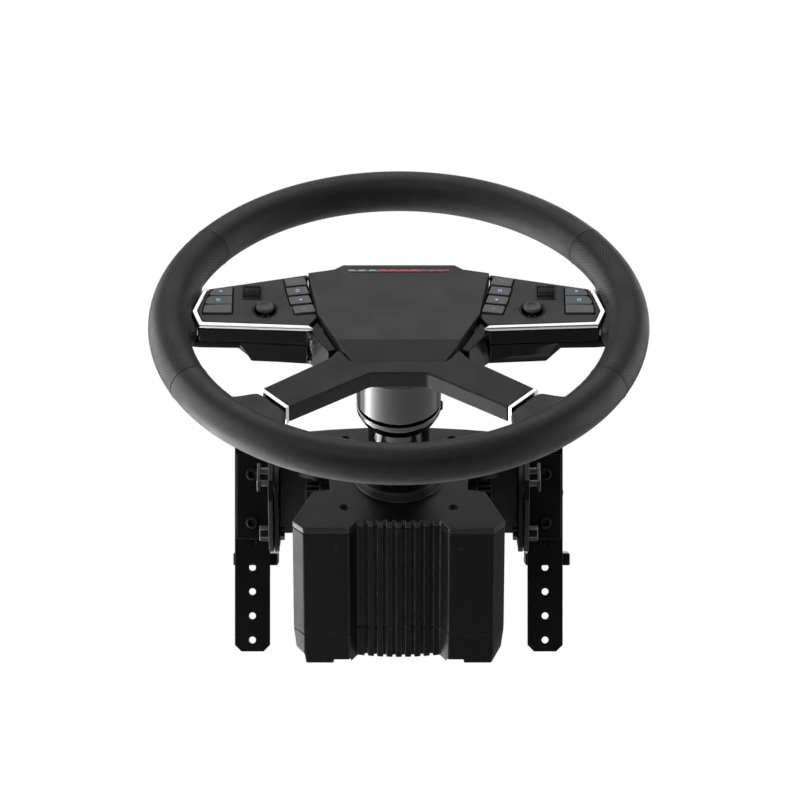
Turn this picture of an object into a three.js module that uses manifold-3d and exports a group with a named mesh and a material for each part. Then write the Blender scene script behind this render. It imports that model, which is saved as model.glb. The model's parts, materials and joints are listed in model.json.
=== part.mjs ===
// A truck-style racing wheel on a motor base that hangs in the tilting cradle of a desk clamp.
// Millimetres, +Z up, +X to the driver's right, +Y away from the driver.
// The origin lies on the desk's front top edge, half-way between the two hangers.
import * as THREE from "three";
import { mergeVertices } from "three/addons/utils/BufferGeometryUtils.js";
import Module from "manifold-3d";

const wasm = await Module();
wasm.setup();

// ---------- driving dimensions ----------
const GAP = 0.3; // between pieces that touch
const MIRRORED = [
  ["left", -1],
  ["right", 1],
];

// the wheel's axis: "out" points along it to the driver, and the rim's centre plane is out = 0
const RIM_CENTRE = [0, -190, 98];
const AXIS_TILT = (37 * Math.PI) / 180;
const RING_RADIUS = 183.5;
const GRIP_RADIUS = 16.5;
const CORE_RADIUS = 10;

// arms of the metal core
const ARM_TOP = -7;
const ARM_BOTTOM = -12.5;
const UPPER_ARM = { width: 10, height: 6 };
const LOWER_ARM = { width: 12, start: [0, -25], end: [-133.7, -125.6] };
const PLATE = { radius: 40, top: -12, bottom: -24, bore: 20 };

// hub and spokes
const HUB = { front: 2, back: -14, wall: 2.5, fold: -23.3, foldDrop: 5 };
const HUB_SIDE = [
  [45, 77.4],
  [52, 71.5],
  [73, 66.5],
  [64.8, 10.7],
  [46.3, -31],
  [36.8, -47.3],
];
const LIGHT_BAR = { width: 78, height: 4, up: 69.5 };
const POD = { skin: 3, side: -16, back: -35, wall: 2.4 };
const POD_OUTLINE = [
  [-73.7, 66.2],
  [-156.7, 46.4],
  [-165.6, 16.4],
  [-159.6, -2.4],
  [-67.5, -7.2],
  [-65.7, 8],
];
const POD_FACE = [
  [-73.7, 66.2],
  [-152.6, 46.7],
  [-160.6, 17.3],
  [-156.3, 2.9],
  [-72, -2],
  [-65.7, 8],
];
const POD_TRIM = [
  [-153.1, 47.2],
  [-157.2, 46.2],
  [-165.6, 16.4],
  [-159.6, -2.4],
  [-67.5, -7.2],
  [-71.9, -2.4],
  [-156.6, 2.5],
  [-161, 17.3],
];
const POD_BASE = { high: -14.4, low: -17 };
const POD_BASE_EDGE = [
  [-76, 60],
  [-70, 60],
  [-61.5, 9],
  [-62, 4],
  [-70, 4],
  [-74, 30],
];
const POD_SHOULDER = [
  [-73, 5],
  [-66, 7],
  [-49.6, -30.6],
  [-56, -33],
  [-67.6, -13],
  [-73, -6.8],
];
const LOWER_COVER_LEFT = [
  [-48, -33.5],
  [-55.3, -44.5],
  [-107.2, -84.4],
  [-85.6, -109.2],
  [-22.2, -64.4],
];
const SPOKE_ROOT = [
  [-109.8, -88.3],
  [-128, -93.5],
  [-137, -93.5],
  [-146, -86],
  [-157, -80],
  [-148, -112],
  [-124, -138],
  [-96, -158],
  [-88.4, -140],
  [-88.5, -112.6],
];
const POD_ROOT = [
  [-157.6, 46.9],
  [-166, 16.4],
  [-159.9, -2.9],
  [-162.5, -10],
  [-168, -17],
  [-180, -17],
  [-184, 10],
  [-176, 52],
  [-165, 60],
  [-158.5, 54],
];
const SPOKE_DEPTH = 16;

// controls
const KEY_TOP = 1.2;
const KEY_BOTTOM = -4.8;
const KEY_GAP = 0.8;
const KEY_TRAVEL = 1.2;
const INNER_KEYS = { width: 17.5, height: 11, skew: 3.4 };
const INNER_CENTRES = [
  [-83.2, 55.4],
  [-81.5, 43.1],
  [-79.1, 30.8],
  [-75.9, 18.5],
];
const OUTER_TOPS = [47.6, 35.9, 24.2];
const OUTER_KEY = { right: -133.4, height: 11, left: [-149.8, -152.9, -155.8, -156.6] };
const ROLLER = { x: -117.8, y: 41.8, out: -3.4, radius: 6.6, half: 5.8, window: 7.9 };
const STICK = { x: -106.9, y: 18.6, out: -9, cap: 7.1, hole: 8.8 };

// quick release
const QR_RADIUS = 34;
const QR_BOTTOM = -77;
const COLLAR = { top: -79, bottom: -93, wide: 34, narrow: 29, bore: 25.5 };

// motor base, with its front face at out = -152
const FRONT = -152;
const FLANGE_BACK = -158;
const HOUSING_BACK = -262;
const BASE_BACK = -292;
const BOSS = { top: -145, low: 37, high: 35 };
const MOTOR_BORE = 52;
const BASE_LOW = -70.7;
const BASE_HIGH = 57;
const GROOVE = { count: 8, pitch: 7.6, width: 2.4, depth: 3 };
const CENTRE_PANEL = { half: 33.4, low: -60.5, crown: 3 };
const FIN = { count: 9, pitch: 7, thick: 2.6, low: -15, root: 64, tip: 75.5 };
const FRONT_HOLES = [
  [43.5, 47.5],
  [43.8, -43.5],
];

const SOCKETS = [
  [-44, -30, 18, 28],
  [-18, -6, 18, 28],
  [2, 16, 16, 29],
  [22, 36, 16, 29],
];
const SOCKET_DEPTH = 2;

// cradle and clamp
const PIVOT = [-50, -72.4]; // y, z
const EAR = { inner: 97.7, thick: 4 };
const SIDE_PLATE = { inner: 102.3, thick: 3.8 };
const WEB = { low: 57.4, high: 61.4, front: -163, back: -258 };
const STUD_ARC = 54;
const STUD_ANGLES = [18.2, 39.7];
const TILT_RANGE = 12;
const STUD_RADIUS = 2.8;
const BAR = { centre: 121, width: 29.2, thick: 5, bottom: -171, corner: 5.4, arm: 100 };
const BAR_HOLES = { first: -161.5, pitch: 20, count: 5, radius: 2.9 };
const JAW = { shift: 2.3, width: 36.7, top: -89.8, bottom: -99.9, depth: 70 };
const CLAMP = { y: 45, screw: 4, pad: 14, padTop: -38 };

// finishes: colour, roughness, metalness
const FINISH = {
  leather: [0x1c1c1d, 0.62, 0],
  mattePanel: [0x343436, 0.5, 0],
  glossBlack: [0x0c0c0d, 0.18, 0],
  brightTrim: [0xdddddd, 0.2, 1],
  key: [0x4a4b4e, 0.4, 0],
  blackRubber: [0x151515, 0.8, 0],
  lens: [0x3a1518, 0.2, 0],
  anodised: [0x1b1b1c, 0.35, 0.8],
  blackSteel: [0x101011, 0.5, 0.4],
  steel: [0x9a9a9c, 0.35, 1],
  copper: [0x9c5a33, 0.4, 1],
  board: [0x14351f, 0.5, 0],
};

// ---------- solids ----------
// A three.js geometry as a manifold solid whose faces point outwards.
function solid(geometry) {
  const plain = geometry.index ? geometry.toNonIndexed() : geometry;
  const bare = new THREE.BufferGeometry();
  bare.setAttribute("position", plain.getAttribute("position"));
  const merged = mergeVertices(bare, 1e-4);
  const position = merged.attributes.position.array;
  const triangles = new Uint32Array(merged.index.array);
  if (signedVolume(position, triangles) < 0) {
    for (let i = 0; i < triangles.length; i += 3) {
      [triangles[i + 1], triangles[i + 2]] = [triangles[i + 2], triangles[i + 1]];
    }
  }
  return new wasm.Manifold(
    new wasm.Mesh({ numProp: 3, vertProperties: position, triVerts: triangles }),
  );
}

function signedVolume(position, triangles) {
  let sum = 0;
  const [a, b, c] = [0, 1, 2].map(() => new THREE.Vector3());
  for (let i = 0; i < triangles.length; i += 3) {
    a.fromArray(position, triangles[i] * 3);
    b.fromArray(position, triangles[i + 1] * 3);
    c.fromArray(position, triangles[i + 2] * 3);
    sum += a.dot(b.cross(c)) / 6;
  }
  return sum;
}

const join = (first, ...others) => others.reduce((all, next) => all.add(next), first);
const cut = (body, ...tools) => tools.reduce((rest, tool) => rest.subtract(tool), body);

// A named mesh of a manifold solid.
function piece(name, body, finish) {
  const data = body.getMesh();
  const geometry = new THREE.BufferGeometry();
  const corners = new Float32Array(data.numVert * 3);
  for (let i = 0; i < data.numVert; i++) {
    const start = i * data.numProp;
    corners.set(data.vertProperties.subarray(start, start + 3), i * 3);
  }
  geometry.setAttribute("position", new THREE.BufferAttribute(corners, 3));
  geometry.setIndex(new THREE.BufferAttribute(new Uint32Array(data.triVerts), 1));
  geometry.computeVertexNormals();
  const [color, roughness, metalness] = FINISH[finish];
  const material = new THREE.MeshStandardMaterial({ color, roughness, metalness });
  const mesh = new THREE.Mesh(geometry, material);
  mesh.name = name;
  return mesh;
}

// An outline of [x, y] points, pushed from one height to another.
function prism(points, low, high) {
  const shape = new THREE.Shape(points.map(([x, y]) => new THREE.Vector2(x, y)));
  const geometry = new THREE.ExtrudeGeometry(shape, { depth: high - low, bevelEnabled: false });
  return solid(geometry.translate(0, 0, low));
}

// Outlines with the same number of points, joined in order of height: sections of [points, height].
function loft(outlines) {
  const flat = (points) => points.map(([x, y]) => new THREE.Vector2(x, y));
  const clockwise = THREE.ShapeUtils.isClockWise(flat(outlines[0][0]));
  const sections = outlines.map(([points, z]) => [clockwise ? [...points].reverse() : points, z]);
  const count = sections[0][0].length;
  const position = sections.flatMap(([points, z]) => points.flatMap(([x, y]) => [x, y, z]));
  const index = [];
  for (let level = 0; level + 1 < sections.length; level++) {
    for (let i = 0; i < count; i++) {
      const next = (i + 1) % count;
      const [a, b] = [level * count + i, level * count + next];
      index.push(a, b, b + count, a, b + count, a + count);
    }
  }
  const last = (sections.length - 1) * count;
  for (const [a, b, c] of THREE.ShapeUtils.triangulateShape(flat(sections[0][0]), [])) {
    index.push(a, c, b);
  }
  for (const [a, b, c] of THREE.ShapeUtils.triangulateShape(flat(sections.at(-1)[0]), [])) {
    index.push(last + a, last + b, last + c);
  }
  const geometry = new THREE.BufferGeometry();
  geometry.setAttribute("position", new THREE.Float32BufferAttribute(position, 3));
  return solid(geometry.setIndex(index));
}

// A profile of [radius, height] points turned about the Z axis.
function turned(profile, segments = 32) {
  const points = [...profile, profile[0]].map(([r, z]) => new THREE.Vector2(r, z));
  return solid(new THREE.LatheGeometry(points, segments).rotateX(Math.PI / 2));
}

const rod = (radius, low, high, segments = 24) =>
  solid(
    new THREE.CylinderGeometry(radius, radius, high - low, segments)
      .rotateX(Math.PI / 2)
      .translate(0, 0, (low + high) / 2),
  );

const ring = (inner, outer, low, high, segments = 32) =>
  turned(
    [
      [inner, low],
      [outer, low],
      [outer, high],
      [inner, high],
    ],
    segments,
  );

function box(x0, x1, y0, y1, z0, z1) {
  const size = [x1 - x0, y1 - y0, z1 - z0];
  const centre = [(x0 + x1) / 2, (y0 + y1) / 2, (z0 + z1) / 2];
  return solid(new THREE.BoxGeometry(...size).translate(...centre));
}

// A round bar along X.
const crossRod = (radius, x0, x1, y, z, segments = 16) =>
  solid(
    new THREE.CylinderGeometry(radius, radius, x1 - x0, segments)
      .rotateZ(Math.PI / 2)
      .translate((x0 + x1) / 2, y, z),
  );

const torus = (radius, tube, steps, sides) =>
  solid(new THREE.TorusGeometry(radius, tube, sides, steps));

const flip = (points) => points.map(([x, y]) => [-x, y]).reverse();
const onSide = (side, points) => (side < 0 ? points : flip(points));
const bothSides = (rightTopToBottom) => [
  ...rightTopToBottom,
  ...rightTopToBottom.map(([x, y]) => [-x, y]).reverse(),
];

// ---------- rim and core ----------
function lowerArm(side, width, low, high) {
  const [x0, y0] = LOWER_ARM.start;
  const [x1, y1] = LOWER_ARM.end;
  const along = new THREE.Vector2(x1 - x0, y1 - y0).normalize();
  const across = new THREE.Vector2(-along.y, along.x).multiplyScalar(width / 2);
  const outline = [
    [x0 + across.x, y0 + across.y],
    [x1 + across.x, y1 + across.y],
    [x1 - across.x, y1 - across.y],
    [x0 - across.x, y0 - across.y],
  ];
  return prism(onSide(side, outline), low, high);
}

function upperArms(spare) {
  const half = UPPER_ARM.width / 2 + spare;
  const middle = UPPER_ARM.height;
  const reach = RING_RADIUS - 1;
  const sides = [middle - half, middle + half];
  return box(-reach, reach, ...sides, ARM_BOTTOM - spare, ARM_TOP + spare);
}

function arms(spare) {
  const [low, high] = [ARM_BOTTOM - spare, ARM_TOP + spare];
  const lower = [-1, 1].map((side) => lowerArm(side, LOWER_ARM.width + 2 * spare, low, high));
  return join(upperArms(spare), ...lower);
}

function rimCore() {
  const hoop = torus(RING_RADIUS, CORE_RADIUS, 56, 8);
  const plate = rod(PLATE.radius, PLATE.bottom, PLATE.top, 32);
  const bore = rod(PLATE.bore, PLATE.bottom - 1, 0, 24);
  return piece("rim_core", cut(join(hoop, arms(0), plate), bore), "steel");
}

function rimGrip() {
  const tube = torus(RING_RADIUS, GRIP_RADIUS, 64, 12);
  const roots = [-1, 1].flatMap((side) =>
    [SPOKE_ROOT, POD_ROOT].map((outline) => prism(onSide(side, outline), -SPOKE_DEPTH, 0)),
  );
  const channel = torus(RING_RADIUS, CORE_RADIUS + 0.5, 56, 8);
  return piece("rim_grip", cut(join(tube, ...roots), channel, arms(0.4)), "leather");
}

// ---------- hub and spokes ----------
const hubOutline = bothSides(HUB_SIDE);

function hubFascia() {
  const block = prism(hubOutline, HUB.back, HUB.front);
  const inner = hubOutline.map(([x, y]) => [x * 0.955, y > 0 ? y - HUB.wall : y + HUB.wall]);
  const hollow = prism(inner, HUB.back - 1, HUB.front - HUB.foldDrop - HUB.wall);
  const low = -52;
  const drop = (HUB.foldDrop * (low - HUB.fold)) / (HUB_SIDE.at(-1)[1] - HUB.fold);
  const wedge = prism(
    [
      [HUB.fold, HUB.front],
      [low, HUB.front - drop],
      [low, HUB.front + 1],
      [HUB.fold, HUB.front + 1],
    ],
    -80,
    80,
  );
  // the wedge's outline is (up, out), so it is turned to run along X
  const bevel = wedge.transform([0, 1, 0, 0, 0, 0, 1, 0, 1, 0, 0, 0, 0, 0, 0, 1]);
  const { width, height, up } = LIGHT_BAR;
  const window = box(-width / 2, width / 2, up - height / 2, up + height / 2, HUB.back, 5);
  const shell = cut(block, hollow, bevel, window, arms(0.4));
  return piece("hub_fascia", shell, "mattePanel");
}

function lightBar() {
  const half = LIGHT_BAR.width / 2 - GAP;
  const tall = LIGHT_BAR.height / 2 - GAP;
  const bar = box(-half, half, LIGHT_BAR.up - tall, LIGHT_BAR.up + tall, -4, HUB.front);
  return piece("led_lens", bar, "lens");
}

function podFace(side, name) {
  const plate = prism(onSide(side, POD_FACE), -POD.skin, 0);
  const middle = side * -ROLLER.x;
  const { y, out } = ROLLER;
  const lugs = [-7, 7].map((x) => box(middle + x - 1, middle + x + 1, y - 3, y + 3, out - 3, -1));
  const axle = crossRod(1.6, middle - 9, middle + 9, y, out, 12);
  const openings = [
    ...keyPockets(side, -5, 5),
    rollerWindow(side),
    rod(STICK.hole, -5, 5, 28).translate([side * -STICK.x, STICK.y, 0]),
  ];
  const body = join(cut(plate, ...openings), ...lugs);
  return piece(name + "_pod_fascia", cut(body, axle), "mattePanel");
}

function rollerWindow(side) {
  const x = side * -ROLLER.x;
  const w = ROLLER.window;
  return box(x - 6.4, x + 6.4, ROLLER.y - w, ROLLER.y + w, -5, 5);
}

const podTrim = (side, name) =>
  piece(
    name + "_pod_trim",
    prism(onSide(side, POD_TRIM), -POD.skin, 0.4),
    "brightTrim",
  );

function podHousing(side, name) {
  const top = -POD.skin - GAP;
  const wide = [
    [-73, 60],
    [-128, 50],
    [-138, 30],
    [-138, 0],
    [-128, -3.5],
    [-68.5, -7],
    [-67, 8],
  ];
  const narrow = wide.map(([x, y]) => [Math.max(x, -118), y > 45 ? 45 : y]);
  const bucket = prism(onSide(side, POD_OUTLINE), POD.side, top);
  const edge = prism(onSide(side, POD_BASE_EDGE), POD_BASE.low, POD_BASE.high);
  const shoulder = prism(onSide(side, POD_SHOULDER), POD.back + 1, top);
  const bulge = loft([
    [onSide(side, narrow), POD.back],
    [onSide(side, wide), POD.side + 0.5],
  ]);
  const inner = POD_OUTLINE.map(([x, y]) => [
    -112 + (x + 112) * 0.95,
    28 + (y - 28) * 0.9,
  ]);
  const hollow = prism(onSide(side, inner), POD.side + POD.wall, 0);
  const deep = prism(onSide(side, [[-78, 42], [-115, 40], [-115, 3], [-76, 0]]), -32, 0);
  const pockets = keyPockets(side, KEY_BOTTOM - KEY_TRAVEL - 0.4, 0);
  const shell = cut(join(bucket, bulge), hollow, deep);
  const body = cut(join(shell, edge, shoulder), arms(0.4), ...pockets);
  return piece(name + "_pod_housing", body, "glossBlack");
}

function lowerSpokeCover() {
  const outline = [
    ...LOWER_COVER_LEFT,
    ...LOWER_COVER_LEFT.map(([x, y]) => [-x, y]).reverse(),
    [37.4, -48.6],
    [-37.4, -48.6],
  ];
  const block = prism(outline, -SPOKE_DEPTH, -1);
  const plateRoom = rod(PLATE.radius + 0.5, -30, -11, 32);
  return piece("lower_spoke_cover", cut(block, arms(0.4), plateRoom), "mattePanel");
}

function lowerTrim(side, name) {
  const band = [
    [-107.5, -84.8],
    [-109.5, -87.8],
    [-88.3, -112.2],
    [-85.9, -109.7],
  ];
  const strip = prism(onSide(side, band), -SPOKE_DEPTH, 0.2);
  return piece(name + "_lower_trim", cut(strip, arms(0.4)), "brightTrim");
}

function rearHubCover() {
  const cone = turned(
    [
      [35, -38],
      [37.5, -38],
      [53, -19],
      [53, -16.5],
      [50, -16.5],
      [50, -18],
      [41, -28],
      [35, -33],
    ],
    40,
  );
  return piece("rear_hub_cover", cone, "blackRubber");
}

// ---------- controls ----------
// A key's four corners, slanted as the hub's edge beside it is.
function innerKey(index) {
  const [x, y] = INNER_CENTRES[index];
  const { width, height, skew } = INNER_KEYS;
  const [w, h] = [width / 2, (height - KEY_GAP) / 2];
  return [
    [x - w - skew / 2 + 1, y + h - 1.4],
    [x - w + skew / 2, y - h - 1.4],
    [x + w + skew / 2 - 0.6, y - h + 1.4],
    [x + w - skew / 2, y + h + 1.4],
  ];
}

function outerKey(index) {
  const top = OUTER_TOPS[index];
  const bottom = top - OUTER_KEY.height;
  const [highLeft, lowLeft] = [OUTER_KEY.left[index], OUTER_KEY.left[index + 1]];
  return [
    [OUTER_KEY.right, top + 0.6],
    [highLeft, top - (index ? 0 : 2)],
    [lowLeft, bottom],
    [OUTER_KEY.right, bottom],
  ];
}

// An outline pushed out by a distance from its middle, corner by corner.
function grow(points, spare) {
  const middle = points.reduce(([x, y], p) => [x + p[0] / 4, y + p[1] / 4], [0, 0]);
  return points.map(([x, y]) => [
    x + Math.sign(x - middle[0]) * spare,
    y + Math.sign(y - middle[1]) * spare,
  ]);
}

// Room for the keys, open towards the hub beside the inner ones.
function keyPockets(side, low, high) {
  const outlines = [
    ...OUTER_TOPS.map((top, i) => outerKey(i)),
    ...INNER_CENTRES.map((centre, i) => innerKey(i)),
  ];
  const first = innerKey(0);
  const last = innerKey(INNER_CENTRES.length - 1);
  const open = [first[3], first[0], last[1], last[2]].map(([x, y], i) => [
    x + (i % 3 ? 0 : 6),
    y,
  ]);
  const rooms = [...outlines.map((outline) => grow(outline, KEY_GAP)), grow(open, KEY_GAP)];
  return rooms.map((outline) => prism(onSide(side, outline), low, high));
}

const key = (name, side, outline) =>
  piece(name, prism(onSide(side, outline), KEY_BOTTOM, KEY_TOP), "key");

function keys(side, name) {
  const outer = OUTER_TOPS.map((top, i) =>
    key(name + "_outer_button_" + (i + 1), side, outerKey(i)),
  );
  const inner = INNER_CENTRES.map((centre, i) =>
    key(name + "_inner_button_" + (i + 1), side, innerKey(i)),
  );
  return [...outer, ...inner];
}

function roller(side, name) {
  const x = side * -ROLLER.x;
  const { y, out, radius, half } = ROLLER;
  const drum = crossRod(radius, x - half, x + half, y, out, 20);
  const axle = crossRod(1.3, x - 8.4, x + 8.4, y, out, 12);
  return piece(name + "_roller", join(drum, axle), "blackRubber");
}

function stick(side, name) {
  const cap = turned(
    [
      [0, -11.5],
      [1.8, -11.5],
      [1.8, 0],
      [STICK.cap, 1],
      [STICK.cap, 2.8],
      [STICK.cap - 1.6, 4.4],
      [0, 4.4],
    ],
    24,
  );
  const gimbal = ring(2.6, 5.6, STICK.out - 1.2, STICK.out + 1.2, 16);
  const place = [side * -STICK.x, STICK.y, 0];
  return [
    piece(name + "_stick", cap.translate(place), "blackRubber"),
    piece(name + "_stick_gimbal", gimbal.translate(place), "steel"),
  ];
}

// ---------- quick release and motor ----------
function quickRelease() {
  const adapter = turned([
    [26, QR_BOTTOM],
    [QR_RADIUS - 1, QR_BOTTOM],
    [QR_RADIUS, QR_BOTTOM + 1],
    [QR_RADIUS, -32],
    [30, -26],
    [30, PLATE.bottom - GAP],
    [17, PLATE.bottom - GAP],
    [17, -48],
    [26, -48],
  ], 40);
  const collar = turned([
    [COLLAR.bore, COLLAR.bottom],
    [COLLAR.narrow, COLLAR.bottom],
    [COLLAR.wide, COLLAR.top - 5],
    [COLLAR.wide, COLLAR.top],
    [COLLAR.bore, COLLAR.top],
  ], 40);
  return [
    piece("qr_adapter", adapter, "glossBlack"),
    piece("qr_release_collar", collar, "anodised"),
  ];
}

function motorInside() {
  const shaft = turned([
    [0, -260],
    [14, -260],
    [14, -161],
    [18, -161],
    [18, -143],
    [25, -143],
    [25, -52],
    [22, -49],
    [0, -49],
  ]);
  return [
    piece("drive_shaft", shaft, "steel"),
    piece("rotor", ring(14.3, 35.2, -238, -170), "steel"),
    piece("front_bearing", ring(18.4, 25.6, -157.7, -148), "steel"),
    piece("stator", ring(36, 51.4, -240, -168), "copper"),
    piece("rear_bearing", ring(14.5, 21.4, -261.6, -253), "steel"),
  ];
}

// The lower half of the base's outline, from the right shoulder round to the centre.
function lowerSide() {
  const points = [
    [70, -23],
    [85.7, -61],
    [77, BASE_LOW],
    [40.2, BASE_LOW],
    [CENTRE_PANEL.half, CENTRE_PANEL.low],
  ];
  for (let i = GROOVE.count / 2 - 1; i >= 0; i--) {
    const x = (i + 0.5) * GROOVE.pitch;
    const y = CENTRE_PANEL.low - CENTRE_PANEL.crown * (1 - (x / CENTRE_PANEL.half) ** 2);
    const half = GROOVE.width / 2;
    points.push([x + half, y], [x + half, y + GROOVE.depth]);
    points.push([x - half, y + GROOVE.depth], [x - half, y]);
  }
  return points;
}

function finSide() {
  const points = [
    [72, BASE_HIGH],
    [FIN.tip, BASE_HIGH - 3],
  ];
  for (let i = FIN.count - 1; i >= 0; i--) {
    const y = FIN.low + i * FIN.pitch;
    if (i < FIN.count - 1) {
      points.push([FIN.tip, y + FIN.thick]);
    }
    points.push([FIN.tip, y], [FIN.root, y]);
    if (i > 0) {
      points.push([FIN.root, y - FIN.pitch + FIN.thick]);
    }
  }
  points.push([FIN.root, -23]);
  return points;
}

function frontFlange() {
  const half = [
    [27, 63],
    [54, 60.8],
    [77, 57.8],
    [81, 55.5],
    [81, 4],
    [56, -6],
    [56, -20],
    ...lowerSide(),
  ];
  const plate = prism(bothSides(half), FLANGE_BACK, FRONT);
  const boss = turned([
    [20, FRONT - 1],
    [BOSS.low, FRONT - 1],
    [BOSS.low, FRONT],
    [BOSS.high, BOSS.top],
    [20, BOSS.top],
  ], 40);
  const seat = rod(26, FLANGE_BACK - 1, -147.7, 32);
  const mouth = rod(25.5, -150, BOSS.top + 1, 32);
  const holes = FRONT_HOLES.flatMap(([x, y]) =>
    [-1, 1].map((side) => rod(3.7, FRONT - 4, FRONT + 1, 12).translate([side * x, y, 0])),
  );
  return piece("front_flange", cut(join(plate, boss), seat, mouth, ...holes), "anodised");
}

function motorHousing() {
  const back = HOUSING_BACK;
  const front = FLANGE_BACK - GAP;
  const block = prism(bothSides([...finSide(), ...lowerSide()]), back, front);
  const bore = rod(MOTOR_BORE, back + 10, front + 1, 40);
  const seat = rod(22, back - 1, front, 32);
  return piece("motor_housing", cut(block, bore, seat), "anodised");
}

function rearCover() {
  const half = [[70, BASE_HIGH], [77, 50], [77, -10], ...lowerSide()];
  const outline = bothSides(half);
  const within = (limit) => outline.map(([x, y]) => [Math.max(-limit, Math.min(limit, x)), y]);
  const front = HOUSING_BACK - GAP;
  const shell = loft([
    [within(75.5), BASE_BACK],
    [within(83.6), BASE_BACK + 10],
    [outline, front],
  ]);
  const hollow = box(-58, 58, -50, 46, BASE_BACK + 4, 0);
  const sockets = SOCKETS.map(([x0, x1, y0, y1]) =>
    box(x0, x1, y0, y1, BASE_BACK - 1, BASE_BACK + SOCKET_DEPTH),
  );
  const steps = [-1, 1].map((side) => {
    const [x0, x1] = side < 0 ? [-53, -39] : [39, 53];
    return box(x0, x1, BASE_LOW - 1, BASE_LOW + 5, BASE_BACK - 1, BASE_BACK + 3.3);
  });
  return piece("rear_cover", cut(shell, hollow, ...sockets, ...steps), "anodised");
}

const controlBoard = () =>
  piece("control_board", box(-52, 52, -42, 40, -272, -270.4), "board");

// ---------- cradle ----------
// The pivot and the studs in the base's own directions (up, out).
const toAxisFrame = ([y, z]) => {
  const [dy, dz] = [y - RIM_CENTRE[1], z - RIM_CENTRE[2]];
  const [s, c] = [Math.sin(AXIS_TILT), Math.cos(AXIS_TILT)];
  return [c * dy + s * dz, -s * dy + c * dz];
};

const studPlace = (degrees) => {
  const angle = (degrees * Math.PI) / 180;
  return [PIVOT[0] - STUD_ARC * Math.sin(angle), PIVOT[1] + STUD_ARC * Math.cos(angle)];
};

// Points of an arc in a plane, from one angle to another in degrees.
function arc([x, y], radius, from, to, steps) {
  return Array.from({ length: steps + 1 }, (_, i) => {
    const angle = ((from + ((to - from) * i) / steps) * Math.PI) / 180;
    return [x + radius * Math.cos(angle), y + radius * Math.sin(angle)];
  });
}

// An outline of (up, out) points, pushed along X.
function sideways(points, x0, x1) {
  const body = prism(points, x0, x1);
  return body.transform([0, 1, 0, 0, 0, 0, 1, 0, 1, 0, 0, 0, 0, 0, 0, 1]);
}

function cradle() {
  const [pivotUp, pivotOut] = toAxisFrame(PIVOT);
  const ear = [
    [WEB.high, WEB.front],
    [WEB.high, -250],
    [56, WEB.back],
    [45, WEB.back],
    ...arc([pivotUp, pivotOut], 15, -90, -200, 8),
    [-4, -172],
    [-1, -159],
    [8, -156],
    [30, -158],
  ];
  const ears = [-1, 1].map((side) => {
    const inner = side * EAR.inner;
    const outer = side * (EAR.inner + EAR.thick);
    return sideways(ear, Math.min(inner, outer), Math.max(inner, outer));
  });
  const web = box(-98, 98, WEB.low, WEB.high, WEB.back, WEB.front);
  const bores = [-1, 1].map((side) => {
    const middle = side * (EAR.inner + EAR.thick / 2);
    return crossRod(4.3, middle - 4, middle + 4, pivotUp, pivotOut);
  });
  return piece("cradle", cut(join(web, ...ears), ...bores), "blackSteel");
}

function tiltLock(side, name) {
  const [inner, outer] = [EAR.inner + EAR.thick + 0.1, 114.2];
  const studs = STUD_ANGLES.map(studPlace).map(toAxisFrame);
  const rods = studs.map(([up, out]) => crossRod(STUD_RADIUS, inner, outer, up, out, 12));
  const [a, b] = studs;
  const along = new THREE.Vector2(b[0] - a[0], b[1] - a[1]).normalize();
  const across = new THREE.Vector2(-along.y, along.x);
  const corner = ([up, out], reach, offset) => [
    up + along.x * reach + across.x * offset,
    out + along.y * reach + across.y * offset,
  ];
  const outline = [corner(a, -5, -5), corner(b, 5, -5), corner(b, 5, 5), corner(a, -5, 5)];
  const bridge = sideways(outline, 113, 115.5);
  const whole = join(bridge, ...rods);
  const placed = side > 0 ? whole : whole.mirror([1, 0, 0]);
  return piece(name + "_tilt_lock", placed, "steel");
}

// ---------- desk clamp ----------
function hanger(side, name) {
  const centre = side * BAR.centre;
  const half = BAR.width / 2;
  const { bottom, corner, thick } = BAR;
  const face = [
    [centre - half, thick],
    [centre - half, bottom + corner],
    [centre - half + corner, bottom],
    [centre + half - corner, bottom],
    [centre + half, bottom + corner],
    [centre + half, thick],
  ];
  const bar = prism(face, 0, thick).rotate([90, 0, 0]);
  const arm = prism(
    [
      [centre - half, -thick],
      [centre + half, -thick],
      [centre + half, BAR.arm - 6],
      [centre + half - 6, BAR.arm],
      [centre - half + 6, BAR.arm],
      [centre - half, BAR.arm - 6],
    ],
    0,
    thick,
  );
  const hole = (z, radius) =>
    rod(radius, -1, thick + 1, 12).rotate([90, 0, 0]).translate([centre, 0, z]);
  const holes = Array.from({ length: BAR_HOLES.count }, (_, i) =>
    hole(BAR_HOLES.first + i * BAR_HOLES.pitch, BAR_HOLES.radius),
  );
  return piece(name + "_hanger", cut(join(bar, arm), ...holes), "blackSteel");
}

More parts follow.
